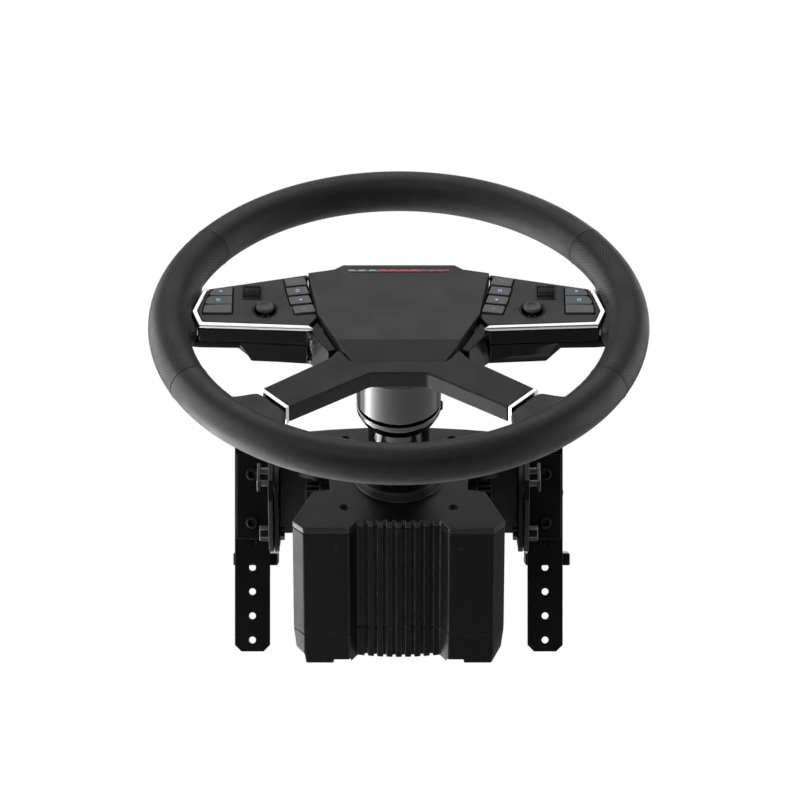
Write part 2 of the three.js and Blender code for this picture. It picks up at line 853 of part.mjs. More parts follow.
function sidePlate(side, name) {
  const face = -BAR.thick - GAP;
  const outline = [
    [face, -80],
    [face, -8],
    [-40, -5],
    [-78, -9],
    [-103, -28],
    [-104, -45],
    [-72, -80],
    [-60, -87],
    [-40, -87],
  ];
  const from = 90 + STUD_ANGLES[0] - TILT_RANGE;
  const to = 90 + STUD_ANGLES[1] + TILT_RANGE;
  const half = STUD_RADIUS + 0.6;
  const slot = [
    ...arc(PIVOT, STUD_ARC + half, from - 4, to + 4, 8),
    ...arc(PIVOT, STUD_ARC - half, to + 4, from - 4, 8),
  ];
  const [x0, x1] = [SIDE_PLATE.inner, SIDE_PLATE.inner + SIDE_PLATE.thick];
  const plate = cut(sideways(outline, x0, x1), sideways(slot, x0 - 1, x1 + 1));
  const pivotHole = crossRod(4.3, x0 - 1, x1 + 1, ...PIVOT);
  const flange = box(x0, BAR.centre + 13, face - 3, face, -78, -8);
  const whole = cut(join(plate, flange), pivotHole);
  const placed = side > 0 ? whole : whole.mirror([1, 0, 0]);
  return piece(name + "_side_plate", placed, "blackSteel");
}

function pivotBolt(side, name) {
  const [y, z] = PIVOT;
  const shank = crossRod(4, 96.4, 108, y, z);
  const head = crossRod(6.5, SIDE_PLATE.inner + SIDE_PLATE.thick + GAP, 114, y, z, 6);
  const tail = crossRod(5.6, 93.4, EAR.inner - GAP, y, z, 6);
  const whole = join(shank, head, tail);
  const placed = side > 0 ? whole : whole.mirror([1, 0, 0]);
  return piece(name + "_pivot_bolt", placed, "steel");
}

function jaw(side, name) {
  const middle = side * BAR.centre + JAW.shift;
  const [x0, x1] = [middle - JAW.width / 2, middle + JAW.width / 2];
  const block = box(x0, x1, GAP, JAW.depth, JAW.bottom, JAW.top);
  const centre = side * BAR.centre;
  const tab = box(centre - 12, centre + 12, GAP, 4.5, JAW.top - 1, -72);
  const peg = rod(2.4, -1, BAR.thick - 1, 12).rotate([90, 0, 0]).translate([centre, 0, -81.5]);
  const screwHole = rod(CLAMP.screw + GAP, JAW.bottom - 1, JAW.top + 1, 20);
  const body = cut(join(block, tab, peg), screwHole.translate([middle, CLAMP.y, 0]));
  return piece(name + "_jaw", body, "blackSteel");
}

function clampScrew(side, name) {
  const middle = side * BAR.centre + JAW.shift;
  const { screw, pad, padTop } = CLAMP;
  const place = [middle, CLAMP.y, 0];
  const shank = rod(screw, JAW.bottom + 2, padTop - 5, 20);
  const socket = rod(2.3, JAW.bottom, JAW.bottom + 6, 6);
  const plate = ring(0, pad, padTop - 4.5, padTop, 24);
  const cup = turned([
    [screw + 0.4, padTop - 9],
    [screw + 3, padTop - 9],
    [pad - 3, padTop - 4.5],
    [pad - 3, padTop - 4],
    [screw + 0.4, padTop - 4],
  ], 24);
  return [
    piece(name + "_clamp_screw", cut(shank, socket).translate(place), "steel"),
    piece(name + "_clamp_pad", join(plate, cup).translate(place), "blackRubber"),
  ];
}

// ---------- assembly ----------
const part = new THREE.Group();

const onAxis = new THREE.Group();
onAxis.position.set(...RIM_CENTRE);
onAxis.rotation.x = AXIS_TILT;
part.add(onAxis);

onAxis.add(rimCore(), rimGrip(), hubFascia(), lightBar(), lowerSpokeCover(), rearHubCover());
onAxis.add(...quickRelease(), ...motorInside());
onAxis.add(frontFlange(), motorHousing(), rearCover(), controlBoard(), cradle());

for (const [name, side] of MIRRORED) {
  onAxis.add(podFace(side, name), podTrim(side, name), podHousing(side, name));
  onAxis.add(lowerTrim(side, name), roller(side, name), tiltLock(side, name));
  onAxis.add(...keys(side, name), ...stick(side, name));
  part.add(hanger(side, name), sidePlate(side, name), pivotBolt(side, name));
  part.add(jaw(side, name), ...clampScrew(side, name));
}

export default part;
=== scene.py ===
"""The visible model of a desk-clamped racing wheel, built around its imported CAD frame.

Lengths in the property groups are metres, and values marked MM are millimetres. Places are in the
wheel-axis frame: x to the driver's right, y up in the rim's plane, z out along the axis.
"""

import json
import math

import bmesh
import bpy
import numpy as np
from bpy.props import FloatProperty, FloatVectorProperty, IntProperty, PointerProperty
from bpy.types import Operator, Panel, PropertyGroup
from mathutils import Matrix, Vector


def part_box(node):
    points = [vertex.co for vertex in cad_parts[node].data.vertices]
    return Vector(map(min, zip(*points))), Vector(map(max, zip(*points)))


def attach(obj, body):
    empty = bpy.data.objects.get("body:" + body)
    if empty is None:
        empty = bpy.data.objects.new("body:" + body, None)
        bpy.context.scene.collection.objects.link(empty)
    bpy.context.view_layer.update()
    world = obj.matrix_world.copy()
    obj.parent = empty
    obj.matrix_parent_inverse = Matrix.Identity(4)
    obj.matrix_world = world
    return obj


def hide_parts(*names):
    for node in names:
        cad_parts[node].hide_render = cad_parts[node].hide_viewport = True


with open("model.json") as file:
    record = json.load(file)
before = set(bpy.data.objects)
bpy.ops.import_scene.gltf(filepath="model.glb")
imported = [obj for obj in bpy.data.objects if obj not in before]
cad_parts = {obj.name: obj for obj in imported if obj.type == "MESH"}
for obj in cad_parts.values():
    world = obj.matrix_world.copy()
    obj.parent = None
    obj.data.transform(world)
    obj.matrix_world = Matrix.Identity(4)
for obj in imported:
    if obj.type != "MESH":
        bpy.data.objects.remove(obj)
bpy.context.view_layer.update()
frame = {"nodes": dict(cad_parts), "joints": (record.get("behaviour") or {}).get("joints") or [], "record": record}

bl_info = {
    "name": "Racing wheel finish",
    "version": (1, 0, 0),
    "blender": (4, 5, 0),
    "location": "3D View > Sidebar > Racing wheel",
    "description": "Finishes a racing wheel, its motor base and its desk clamp",
    "category": "Object",
}

MM = 0.001
SIDES = {"left": -1, "right": 1}  # the sign of x on each side
JOINT = {joint["name"]: joint for joint in frame["joints"]}
BODY = {
    node: body
    for body, nodes in frame["record"]["behaviour"]["bodies"].items()
    for node in nodes
}
SLOT = {row["node"]: row["material_slot"] for row in frame["record"]["subparts"]}


def axis_frame():
    """The matrix from the wheel-axis frame to the row frame."""
    wheel = JOINT["wheel_rotation"]
    out = Vector(wheel["axis"]).normalized()
    right = Vector((1, 0, 0))
    turn = Matrix((right, out.cross(right), out)).transposed().to_4x4()
    turn.translation = Vector(wheel["pos_m"])
    return turn


ON_AXIS = axis_frame()
TO_AXIS = ON_AXIS.inverted()


def on_axis(x, y, z):
    """A place given in millimetres in the wheel-axis frame, as a matrix in the row frame."""
    return ON_AXIS @ Matrix.Translation(Vector((x, y, z)) * MM)


def axis_box(node):
    """A CAD node's lowest and highest corners in the wheel-axis frame."""
    corners = [TO_AXIS @ vertex.co for vertex in frame["nodes"][node].data.vertices]
    low = Vector(min(corner[i] for corner in corners) for i in range(3))
    high = Vector(max(corner[i] for corner in corners) for i in range(3))
    return low, high


# ---------- sizes and colours that a user would change ----------
def length(name, description, default):
    return FloatProperty(name=name, description=description, default=default, min=0.0, unit="LENGTH")


def angle(name, description, default):
    return FloatProperty(
        name=name, description=description, default=math.radians(default), subtype="ANGLE"
    )


def colour(name, description, default):
    return FloatVectorProperty(
        name=name, description=description, default=default, size=3, min=0.0, max=1.0, subtype="COLOR"
    )


def count(name, description, default):
    return IntProperty(name=name, description=description, default=default, min=1)


class RimSettings(PropertyGroup):
    ring: length("Ring radius", "From the axis to the middle of the grip", 0.1835)
    grip: length("Grip radius", "Half of the grip's thickness", 0.0165)
    voxel: length("Voxel", "Size of the remesh that blends the spoke roots in", 0.0015)
    middle: angle("Perforated middle", "Angle of the perforated stretches' middles above the spokes", 4.2)
    half_arc: angle("Perforated arc", "Half of the perforated stretch on each side", 29.8)
    pitch: length("Hole pitch", "Distance between perforations", 0.0027)
    hole: length("Hole radius", "Radius of a perforation", 0.00064)
    leather: colour("Leather", "Colour of the rim's leather", (0.016, 0.016, 0.0165))


class ControlSettings(PropertyGroup):
    lights: count("Lights", "Number of shift lights", 10)
    light_pitch: length("Light pitch", "Distance between shift lights", 0.0084)
    light_radius: length("Light half height", "Half of a shift light's height", 0.0010)
    ribs: count("Roller ribs", "Ribs round each roller", 18)
    knurls: count("Stick notches", "Notches round each stick's cap", 16)
    edge: length("Edge", "Rounding of the keys' edges", 0.0007)
    key: colour("Keys", "Colour of the keys", (0.092, 0.096, 0.099))
    panel: colour("Panel", "Colour of the moulded panels", (0.034, 0.034, 0.0355))


class MetalSettings(PropertyGroup):
    edge: length("Edge", "Rounding of the motor base's edges", 0.0008)
    sheet_edge: length("Sheet edge", "Rounding of the clamp's sheet edges", 0.0005)
    screw_head: length("Screw head", "Radius of the hangers' cap screws", 0.005)
    thread_pitch: length("Thread pitch", "Pitch of the clamp screws", 0.00125)
    anodised: colour("Anodised", "Colour of the anodised aluminium", (0.0045, 0.0045, 0.0048))
    coat: colour("Powder coat", "Colour of the powder coat", (0.0048, 0.0048, 0.005))


class StageSettings(PropertyGroup):
    distance: length("Camera distance", "From the desk edge to the camera", 5.19)
    height: length("Camera height", "Height of the camera above the desk top", 0.037)
    floor_radius: length("Floor radius", "Radius of the pale floor", 3.0)
    floor_drop: length("Floor drop", "From the desk top down to the floor", 0.52)


# ---------- shader node groups and materials ----------
def node(tree, kind, **values):
    made = tree.nodes.new(kind)
    for key, value in values.items():
        setattr(made, key, value)
    return made


def maths(tree, operation, first, second):
    """A Math node; each operand is a socket or a number."""
    made = node(tree, "ShaderNodeMath", operation=operation)
    for socket, value in zip(made.inputs, (first, second)):
        if isinstance(value, (int, float)):
            socket.default_value = value
        else:
            tree.links.new(value, socket)
    return made.outputs[0]


def ramp(tree, value, low, high, start, end):
    """A clamped Map Range of a socket."""
    made = node(tree, "ShaderNodeMapRange", clamp=True)
    tree.links.new(value, made.inputs["Value"])
    for name, number in (
        ("From Min", low), ("From Max", high), ("To Min", start), ("To Max", end)
    ):
        made.inputs[name].default_value = number
    return made.outputs["Result"]


def noise(tree, vector, scale, detail=3.0, roughness=0.55):
    made = node(tree, "ShaderNodeTexNoise")
    tree.links.new(vector, made.inputs["Vector"])
    if isinstance(scale, (int, float)):
        made.inputs["Scale"].default_value = scale
    else:
        tree.links.new(scale, made.inputs["Scale"])
    made.inputs["Detail"].default_value = detail
    made.inputs["Roughness"].default_value = roughness
    return made.outputs["Fac"]


def shader_group(name, inputs, outputs):
    """An empty shader node group, its inputs and its outputs."""
    tree = bpy.data.node_groups.new(name, "ShaderNodeTree")
    for label, kind, default in inputs:
        socket = tree.interface.new_socket(label, in_out="INPUT", socket_type=kind)
        if default is not None:
            socket.default_value = default
    for label in outputs:
        tree.interface.new_socket(label, in_out="OUTPUT", socket_type="NodeSocketFloat")
    return tree, tree.nodes.new("NodeGroupInput").outputs, tree.nodes.new("NodeGroupOutput").inputs


VECTOR, FLOAT = "NodeSocketVector", "NodeSocketFloat"


def leather_grain():
    """Pebbled cells with creases between them, and slow folds in the hide; the colour darkens in the creases as
    painted shade.
    """
    tree, ins, outs = shader_group(
        "leather grain", [("Vector", VECTOR, None), ("Scale", FLOAT, 700.0)], ["Height", "Shade"]
    )
    cells = node(tree, "ShaderNodeTexVoronoi", feature="DISTANCE_TO_EDGE")
    tree.links.new(ins["Vector"], cells.inputs["Vector"])
    tree.links.new(ins["Scale"], cells.inputs["Scale"])
    creases = ramp(tree, cells.outputs["Distance"], 0.0, 0.22, 0.0, 1.0)
    folds = noise(tree, ins["Vector"], 90.0, 4.0)
    height = maths(tree, "ADD", maths(tree, "MULTIPLY", folds, 1.4), creases)
    tree.links.new(height, outs["Height"])
    # painted shade: the colour falls to 0.55 in the creases between cells; the slow folds vary the tone
    shade = maths(tree, "MULTIPLY", ramp(tree, creases, 0.0, 1.0, 0.55, 1.0), folds)
    tree.links.new(shade, outs["Shade"])
    return tree


def moulded_grain():
    """The spark-eroded texture of moulded plastic, powder coat or blasted metal."""
    tree, ins, outs = shader_group(
        "moulded grain", [("Vector", VECTOR, None), ("Scale", FLOAT, 1500.0)], ["Height", "Shade"]
    )
    fine = noise(tree, ins["Vector"], ins["Scale"], 2.0, 0.7)
    slow = noise(tree, ins["Vector"], maths(tree, "MULTIPLY", ins["Scale"], 0.04), 4.0)
    tree.links.new(fine, outs["Height"])
    mixed = maths(tree, "ADD", maths(tree, "MULTIPLY", fine, 0.35), maths(tree, "MULTIPLY", slow, 0.65))
    tree.links.new(mixed, outs["Shade"])
    return tree


def turned_grain():
    """Fine rings left by a lathe, or lines left by a brush, across the vector's Z."""
    tree, ins, outs = shader_group(
        "turned grain", [("Vector", VECTOR, None), ("Scale", FLOAT, 1200.0)], ["Height", "Shade"]
    )
    squeeze = node(tree, "ShaderNodeMapping")
    squeeze.inputs["Scale"].default_value = (0.02, 0.02, 1.0)
    tree.links.new(ins["Vector"], squeeze.inputs["Vector"])
    lines = noise(tree, squeeze.outputs["Vector"], ins["Scale"], 3.0, 0.6)
    tree.links.new(lines, outs["Height"])
    slow = noise(tree, ins["Vector"], 60.0, 3.0)
    mixed = maths(tree, "ADD", maths(tree, "MULTIPLY", lines, 0.6), maths(tree, "MULTIPLY", slow, 0.4))
    tree.links.new(mixed, outs["Shade"])
    return tree


def edge_wear_and_highlight():
    """Painted highlight and real rubbing on rounded edges: their mesh attribute, broken up by noise."""
    tree, ins, outs = shader_group(
        "edge wear", [("Vector", VECTOR, None), ("Amount", FLOAT, 0.5)], ["Mask"]
    )
    edge = node(tree, "ShaderNodeAttribute", attribute_name="wear", attribute_type="GEOMETRY")
    patches = ramp(tree, noise(tree, ins["Vector"], 140.0, 4.0), 0.3, 0.65, 0.35, 1.0)
    broken = maths(tree, "MULTIPLY", edge.outputs["Fac"], patches)
    tree.links.new(maths(tree, "MULTIPLY", broken, ins["Amount"]), outs["Mask"])
    return tree


def handling_marks():
    """Slow smudges and fine dust as a roughness between two values."""
    tree, ins, outs = shader_group(
        "handling marks",
        [("Vector", VECTOR, None), ("Low", FLOAT, 0.3), ("High", FLOAT, 0.5)],
        ["Roughness"],
    )
    smudge = ramp(tree, noise(tree, ins["Vector"], 38.0, 5.0, 0.6), 0.34, 0.66, 0.0, 1.0)
    dust = noise(tree, ins["Vector"], 900.0, 1.0)
    blend = maths(tree, "ADD", maths(tree, "MULTIPLY", smudge, 0.8), maths(tree, "MULTIPLY", dust, 0.2))
    spread = maths(tree, "SUBTRACT", ins["High"], ins["Low"])
    scaled = maths(tree, "MULTIPLY", blend, spread)
    tree.links.new(maths(tree, "ADD", scaled, ins["Low"]), outs["Roughness"])
    return tree


GROUPS = {}
GROUP_MAKERS = {
    "leather": leather_grain,
    "moulded": moulded_grain,
    "turned": turned_grain,
    "wear": edge_wear_and_highlight,
    "marks": handling_marks,
}


def use_group(tree, key, vector, **values):
    """A shader node group placed in a material's tree, with its own values."""
    if key not in GROUPS:
        GROUPS[key] = GROUP_MAKERS[key]()
    made = node(tree, "ShaderNodeGroup", node_tree=GROUPS[key])
    tree.links.new(vector, made.inputs["Vector"])
    for label, value in values.items():
        made.inputs[label].default_value = value
    return made.outputs


def mix_colours(tree, factor, first, second):
    """A Mix node; each colour is a socket or three numbers."""
    made = node(tree, "ShaderNodeMix", data_type="RGBA")
    tree.links.new(factor, made.inputs[0])
    for socket, value in ((made.inputs[6], first), (made.inputs[7], second)):
        if isinstance(value, bpy.types.NodeSocket):
            tree.links.new(value, socket)
        else:
            socket.default_value = (*value, 1.0)
    return made.outputs[2]


def finish(name, base, grain, scale, depth, spread, rough, metallic=0.0, worn_and_highlit=None, wear=0.0,
           coat=0.0, glow=None, turn=(0.0, 0.0, 0.0), shine=0.5):
    """A material: a grained colour, painted highlight and rubbing on edges, handling marks and a bump.

    Scale is the grain's, and depth its bump in millimetres. The colour varies by the share spread,
    and rough holds the lowest and the highest roughness. The edge colour paints rounded edges
    lighter by its amount, as painted highlight and real rubbing. Glow is a hue and its strength,
    and turn the direction of the grain.
    """
    made = bpy.data.materials.get(name)
    if made:
        return made
    made = bpy.data.materials.new(name)
    made.use_nodes = True
    tree = made.node_tree
    shader = tree.nodes["Principled BSDF"]
    place = node(tree, "ShaderNodeMapping")
    place.inputs["Rotation"].default_value = turn
    tree.links.new(node(tree, "ShaderNodeTexCoord").outputs["Object"], place.inputs["Vector"])
    vector = place.outputs["Vector"]
    texture = use_group(tree, grain, vector, Scale=scale)
    dark = [channel * (1.0 - spread) for channel in base]
    light = [min(1.0, channel * (1.0 + spread)) for channel in base]
    shade = mix_colours(tree, texture["Shade"], dark, light)
    # rounded edges take a lighter colour: painted highlight and real rubbing
    if worn_and_highlit:
        mask = use_group(tree, "wear", vector, Amount=wear)["Mask"]
        shade = mix_colours(tree, mask, shade, worn_and_highlit)
    tree.links.new(shade, shader.inputs["Base Color"])
    marks = use_group(tree, "marks", vector, Low=rough[0], High=rough[1])
    tree.links.new(marks["Roughness"], shader.inputs["Roughness"])
    bump = node(tree, "ShaderNodeBump")
    bump.inputs["Distance"].default_value = depth * MM
    bump.inputs["Strength"].default_value = 1.0
    tree.links.new(texture["Height"], bump.inputs["Height"])
    tree.links.new(bump.outputs["Normal"], shader.inputs["Normal"])
    shader.inputs["Metallic"].default_value = metallic
    shader.inputs["Coat Weight"].default_value = coat
    shader.inputs["Coat Roughness"].default_value = 0.08
    shader.inputs["Specular IOR Level"].default_value = shine
    if glow:
        shader.inputs["Emission Color"].default_value = (*glow[0], 1.0)
        shader.inputs["Emission Strength"].default_value = glow[1]
    return made


AXIS_TURN = (-math.acos(JOINT["wheel_rotation"]["axis"][2]), 0.0, 0.0)


def leather():
    base = bpy.context.scene.racing_rim.leather
    return finish("grip leather", base, "leather", 620.0, 0.055, 0.5, (0.40, 0.56), shine=0.42)


# near-black discs on the leather in place of the holes: painted shade inside the perforations
def hole_painted_shade():
    return finish("perforation", (0.004, 0.004, 0.004), "moulded", 2500.0, 0.02, 0.3, (0.85, 0.95))


def seam_thread():
    return finish("seam", (0.016, 0.016, 0.017), "moulded", 2600.0, 0.05, 0.5, (0.6, 0.75))


def panel():
    base = bpy.context.scene.racing_controls.panel
    return finish("moulded panel", base, "moulded", 1700.0, 0.05, 0.22, (0.42, 0.55),
                  worn_and_highlit=(0.07, 0.07, 0.072), wear=0.5, shine=0.35)


# a darker copy of the moulded panel for the lower spoke cover: painted shade
def panel_in_painted_shade():
    return finish("moulded panel in painted shade", (0.012, 0.012, 0.0125), "moulded", 1700.0, 0.05, 0.22, (0.42, 0.55),
                  worn_and_highlit=(0.04, 0.04, 0.042), wear=0.5, shine=0.3)


def gloss():
    return finish("gloss panel", (0.003, 0.003, 0.0032), "moulded", 300.0, 0.004, 0.3, (0.10, 0.2),
                  worn_and_highlit=(0.03, 0.03, 0.032), wear=0.5, shine=0.14)


def chrome():
    return finish("bright trim", (0.78, 0.78, 0.80), "turned", 900.0, 0.004, 0.06, (0.10, 0.2),
                  metallic=1.0, worn_and_highlit=(0.9, 0.9, 0.92), wear=0.6, turn=AXIS_TURN)


def key_plastic():
    base = bpy.context.scene.racing_controls.key
    return finish("key plastic", base, "moulded", 1800.0, 0.03, 0.16, (0.3, 0.42),
                  worn_and_highlit=(0.12, 0.122, 0.127), wear=0.7)


def stick_rubber():
    return finish("thumb rubber", (0.10, 0.10, 0.104), "moulded", 1300.0, 0.06, 0.3, (0.45, 0.6),
                  worn_and_highlit=(0.13, 0.13, 0.134), wear=0.5)


def rubber():
    return finish("soft black", (0.016, 0.016, 0.0165), "moulded", 1300.0, 0.06, 0.4, (0.55, 0.72),
                  worn_and_highlit=(0.05, 0.05, 0.052), wear=0.5)


def black_plastic():
    return finish("black plastic", (0.02, 0.02, 0.021), "moulded", 1500.0, 0.05, 0.35, (0.45, 0.6),
                  worn_and_highlit=(0.05, 0.05, 0.052), wear=0.5)


def lens():
    return finish("light lens", (0.022, 0.018, 0.020), "moulded", 250.0, 0.003, 0.4, (0.05, 0.12),
                  coat=0.6)


def anodised():
    base = bpy.context.scene.racing_metal.anodised
    return finish("black anodised", base, "moulded", 1900.0, 0.02, 0.25, (0.26, 0.38),
                  worn_and_highlit=(0.06, 0.06, 0.062), wear=0.7, shine=0.3)


def turned_black():
    return finish("turned black", (0.10, 0.10, 0.102), "turned", 1100.0, 0.002, 0.1, (0.1, 0.15),
                  metallic=1.0, worn_and_highlit=(0.2, 0.2, 0.205), wear=0.6, turn=AXIS_TURN)


# a darker, duller copy of the black anodised for the motor housing and rear cover: painted shade
def anodised_in_painted_shade():
    return finish("housing black", (0.0042, 0.0042, 0.0044), "moulded", 1900.0, 0.02, 0.25, (0.26, 0.38),
                  worn_and_highlit=(0.045, 0.045, 0.047), wear=0.7, shine=0.1)


def powder_coat():
    base = bpy.context.scene.racing_metal.coat
    return finish("powder coat", base, "moulded", 900.0, 0.06, 0.35, (0.36, 0.5),
                  worn_and_highlit=(0.04, 0.04, 0.042), wear=0.7, shine=0.22)


def raw_aluminium():
    return finish("raw aluminium", (0.6, 0.6, 0.61), "turned", 800.0, 0.01, 0.12, (0.3, 0.45),
                  metallic=1.0, worn_and_highlit=(0.8, 0.8, 0.8), wear=0.5)


def bright_steel():
    return finish("turned steel", (0.5, 0.5, 0.51), "turned", 1300.0, 0.008, 0.2, (0.2, 0.35),
                  metallic=1.0, worn_and_highlit=(0.75, 0.75, 0.76), wear=0.6, turn=AXIS_TURN)


def dark_steel():
    return finish("blackened steel", (0.03, 0.03, 0.031), "moulded", 1100.0, 0.02, 0.4, (0.3, 0.46),
                  metallic=0.85, worn_and_highlit=(0.25, 0.25, 0.26), wear=0.8)


def winding():
    return finish("winding", (0.45, 0.2, 0.09), "turned", 700.0, 0.08, 0.3, (0.3, 0.5), metallic=0.8,
                  turn=AXIS_TURN)


def board():
    return finish("solder mask", (0.012, 0.07, 0.035), "moulded", 500.0, 0.01, 0.4, (0.3, 0.42),
                  coat=0.3)


def port_dark():
    return finish("port insulator", (0.006, 0.006, 0.007), "moulded", 1200.0, 0.03, 0.4, (0.5, 0.7))


def lit(name, hue, strength):
    """A small light or a lit sign of that hue."""
    return finish(name, [0.5 * channel for channel in hue], "moulded", 900.0, 0.01, 0.2, (0.25, 0.4),
                  glow=(hue, strength))


SLOT_FINISH = {
    "grip_leather": leather,
    "matte_panel": panel,
    "gloss_panel": gloss,
    "bright_trim": chrome,
    "key_plastic": key_plastic,
    "black_plastic": black_plastic,
    "soft_black": rubber,
    "light_lens": lens,
    "black_aluminium": anodised,
    "core_aluminium": raw_aluminium,
    "black_steel": powder_coat,
    "steel": bright_steel,
    "dark_steel": dark_steel,
    "winding": winding,
    "board": board,
}


# ---------- meshes ----------
SAME_PLACE = 0.01 * MM  # corners nearer than this are merged
CAD_MERGE = 0.03 * MM  # the same, between the loose triangles of a CAD node
FLAT = math.radians(0.6)  # faces that meet at less than this become one face
PARALLEL = 0.99  # least cosine of the angle between the wheel's axis and an edge along it
CORNER_SEGMENTS = 6


def new_piece(name, shape, material):
    """An object made from a bmesh, which is freed."""
    mesh = bpy.data.meshes.new(name)
    shape.to_mesh(mesh)
    shape.free()
    mesh.materials.append(material)
    mesh.shade_smooth()
    made = bpy.data.objects.new(name, mesh)
    bpy.context.scene.collection.objects.link(made)
    return made


def applied(piece):
    """Replaces a piece's mesh by its evaluated one, and removes its modifiers."""
    graph = bpy.context.evaluated_depsgraph_get()
    before = piece.data
    made = bpy.data.meshes.new_from_object(
        piece.evaluated_get(graph), preserve_all_data_layers=True, depsgraph=graph
    )
    piece.modifiers.clear()
    piece.data = made
    made.name = piece.name
    bpy.data.meshes.remove(before)
    return piece


def weighted(piece):
    """Bakes normals weighted by face area, so flat faces look flat beside their rounded edges."""
    piece.modifiers.new("normals", "WEIGHTED_NORMAL").keep_sharp = True
    return applied(piece)


def settle(piece, body, slot, *replaced):
    """Gives a finished piece its body and hides the CAD nodes that it stands for. The slot is not used."""
    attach(piece, body)
    if replaced:
        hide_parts(*replaced)
    return piece


def along_axis(edge):
    """Whether an edge runs along the wheel's axis."""
    run = edge.verts[1].co - edge.verts[0].co
    out = Vector(JOINT["wheel_rotation"]["axis"])
    return run.length > 0 and abs(run.normalized().dot(out)) > PARALLEL


def round_edges(shape, width, segments, sharper_than=28.0, shortest=0.3):
    """Rounds a bmesh's sharp edges; the new faces carry 1 in the attribute for painted highlight and rubbing.

    Edges shorter than this many widths stay sharp.
    """
    wear = shape.faces.layers.float.get("wear") or shape.faces.layers.float.new("wear")
    limit = math.radians(sharper_than)
    edges = [
        edge for edge in shape.edges
        if edge.is_manifold and edge.calc_face_angle(0.0) > limit
        and edge.calc_length() > shortest * width
    ]
    rounded = bmesh.ops.bevel(
        shape, geom=edges, offset=width, segments=segments, profile=0.5, affect="EDGES",
        clamp_overlap=False, miter_outer="ARC",
    )
    for face in rounded["faces"]:
        face[wear] = 1.0


def softened(name, width, material=None, segments=2, sharper_than=28.0, corners=None, shortest=0.3):
    """A CAD node's copy with rounded edges, lightly coloured by painted highlight and rubbing, which replaces the
    node.

    Corners is a function from an edge along the wheel's axis to the radius that rounds it first.
    """
    shape = bmesh.new()
    shape.from_mesh(frame["nodes"][name].data)
    bmesh.ops.remove_doubles(shape, verts=shape.verts, dist=CAD_MERGE)
    bmesh.ops.dissolve_limit(shape, angle_limit=FLAT, verts=shape.verts, edges=shape.edges)
    if corners:
        upright = [(corners(edge), edge) for edge in shape.edges if along_axis(edge)]
        for radius in sorted({radius for radius, edge in upright}):
            bmesh.ops.bevel(
                shape, geom=[edge for wanted, edge in upright if wanted == radius and edge.is_valid],
                offset=radius, segments=CORNER_SEGMENTS, profile=0.5, affect="EDGES",
                clamp_overlap=False,
            )
    round_edges(shape, width, segments, sharper_than, shortest)
    made = new_piece(name + "_finished", shape, material or SLOT_FINISH[SLOT[name]]())
    return settle(weighted(made), BODY[name], SLOT[name], name)


def lathe(profile, steps):
    """A bmesh turned about Z from [radius, height] pairs in millimetres, closed at both ends."""
    shape = bmesh.new()
    rows = []
    for radius, height in profile:
        row = []
        for i in range(steps if radius > 0 else 1):
            turn = 2 * math.pi * i / steps
            place = (radius * math.cos(turn) * MM, radius * math.sin(turn) * MM, height * MM)
            row.append(shape.verts.new(place))
        rows.append(row)
    for low, high in zip(rows, rows[1:] + rows[:1]):
        if len(low) == 1 and len(high) == 1:
            continue
        for i in range(steps):
            j = (i + 1) % steps
            corners = [low[i % len(low)], low[j % len(low)], high[j % len(high)], high[i % len(high)]]
            shape.faces.new(list(dict.fromkeys(corners)))
    bmesh.ops.recalc_face_normals(shape, faces=shape.faces)
    return shape


def slab(outline, low, high):
    """A bmesh prism of an outline of (x, y) points between two heights, in millimetres."""
    shape = bmesh.new()
    lower = [shape.verts.new((x * MM, y * MM, low * MM)) for x, y in outline]
    upper = [shape.verts.new((x * MM, y * MM, high * MM)) for x, y in outline]
    shape.faces.new(lower)
    shape.faces.new(upper)
    for i in range(len(outline)):
        j = (i + 1) % len(outline)
        shape.faces.new((lower[i], lower[j], upper[j], upper[i]))
    bmesh.ops.recalc_face_normals(shape, faces=shape.faces)
    return shape


def circle(radius, steps):
    turns = [2 * math.pi * i / steps for i in range(steps)]
    return [(radius * math.cos(turn), radius * math.sin(turn)) for turn in turns]


def rectangle(half_x, half_y):
    return [(-half_x, -half_y), (half_x, -half_y), (half_x, half_y), (-half_x, half_y)]


def hoop(radius, tube, steps, sides, place=None):
    """A bmesh torus about Z, in metres, moved by a matrix where one is given."""
    shape = bmesh.new()
    rows = []
    for i in range(steps):
        turn = Matrix.Rotation(2 * math.pi * i / steps, 4, "Z")
        rows.append([
            shape.verts.new(turn @ Vector((radius + tube * math.cos(a), 0.0, tube * math.sin(a))))
            for a in (2 * math.pi * k / sides for k in range(sides))
        ])
    for low, high in zip(rows, rows[1:] + rows[:1]):
        for k in range(sides):
            m = (k + 1) % sides
            shape.faces.new((low[k], high[k], high[m], low[m]))
    bmesh.ops.recalc_face_normals(shape, faces=shape.faces)
    if place is not None:
        shape.transform(place)
    return shape


def join_shapes(shapes):
    """One bmesh that holds several, which are freed."""
    whole = bmesh.new()
    for shape in shapes:
        mesh = bpy.data.meshes.new("part")
        shape.to_mesh(mesh)
        shape.free()
        whole.from_mesh(mesh)
        bpy.data.meshes.remove(mesh)
    return whole


def cap_screw(radius):
    """A socket-head screw seen from its head: a chamfered head with a hexagonal socket, up +Z."""
    tall = 0.9 * radius / MM
    wide = radius / MM
    return lathe(
        [(0, 0), (wide, 0), (wide, tall - 0.5), (wide - 0.5, tall), (0.58 * wide, tall),
         (0.52 * wide, tall - 0.3), (0.5 * wide, 0.35 * tall), (0, 0.3 * tall)],
        24,
    )


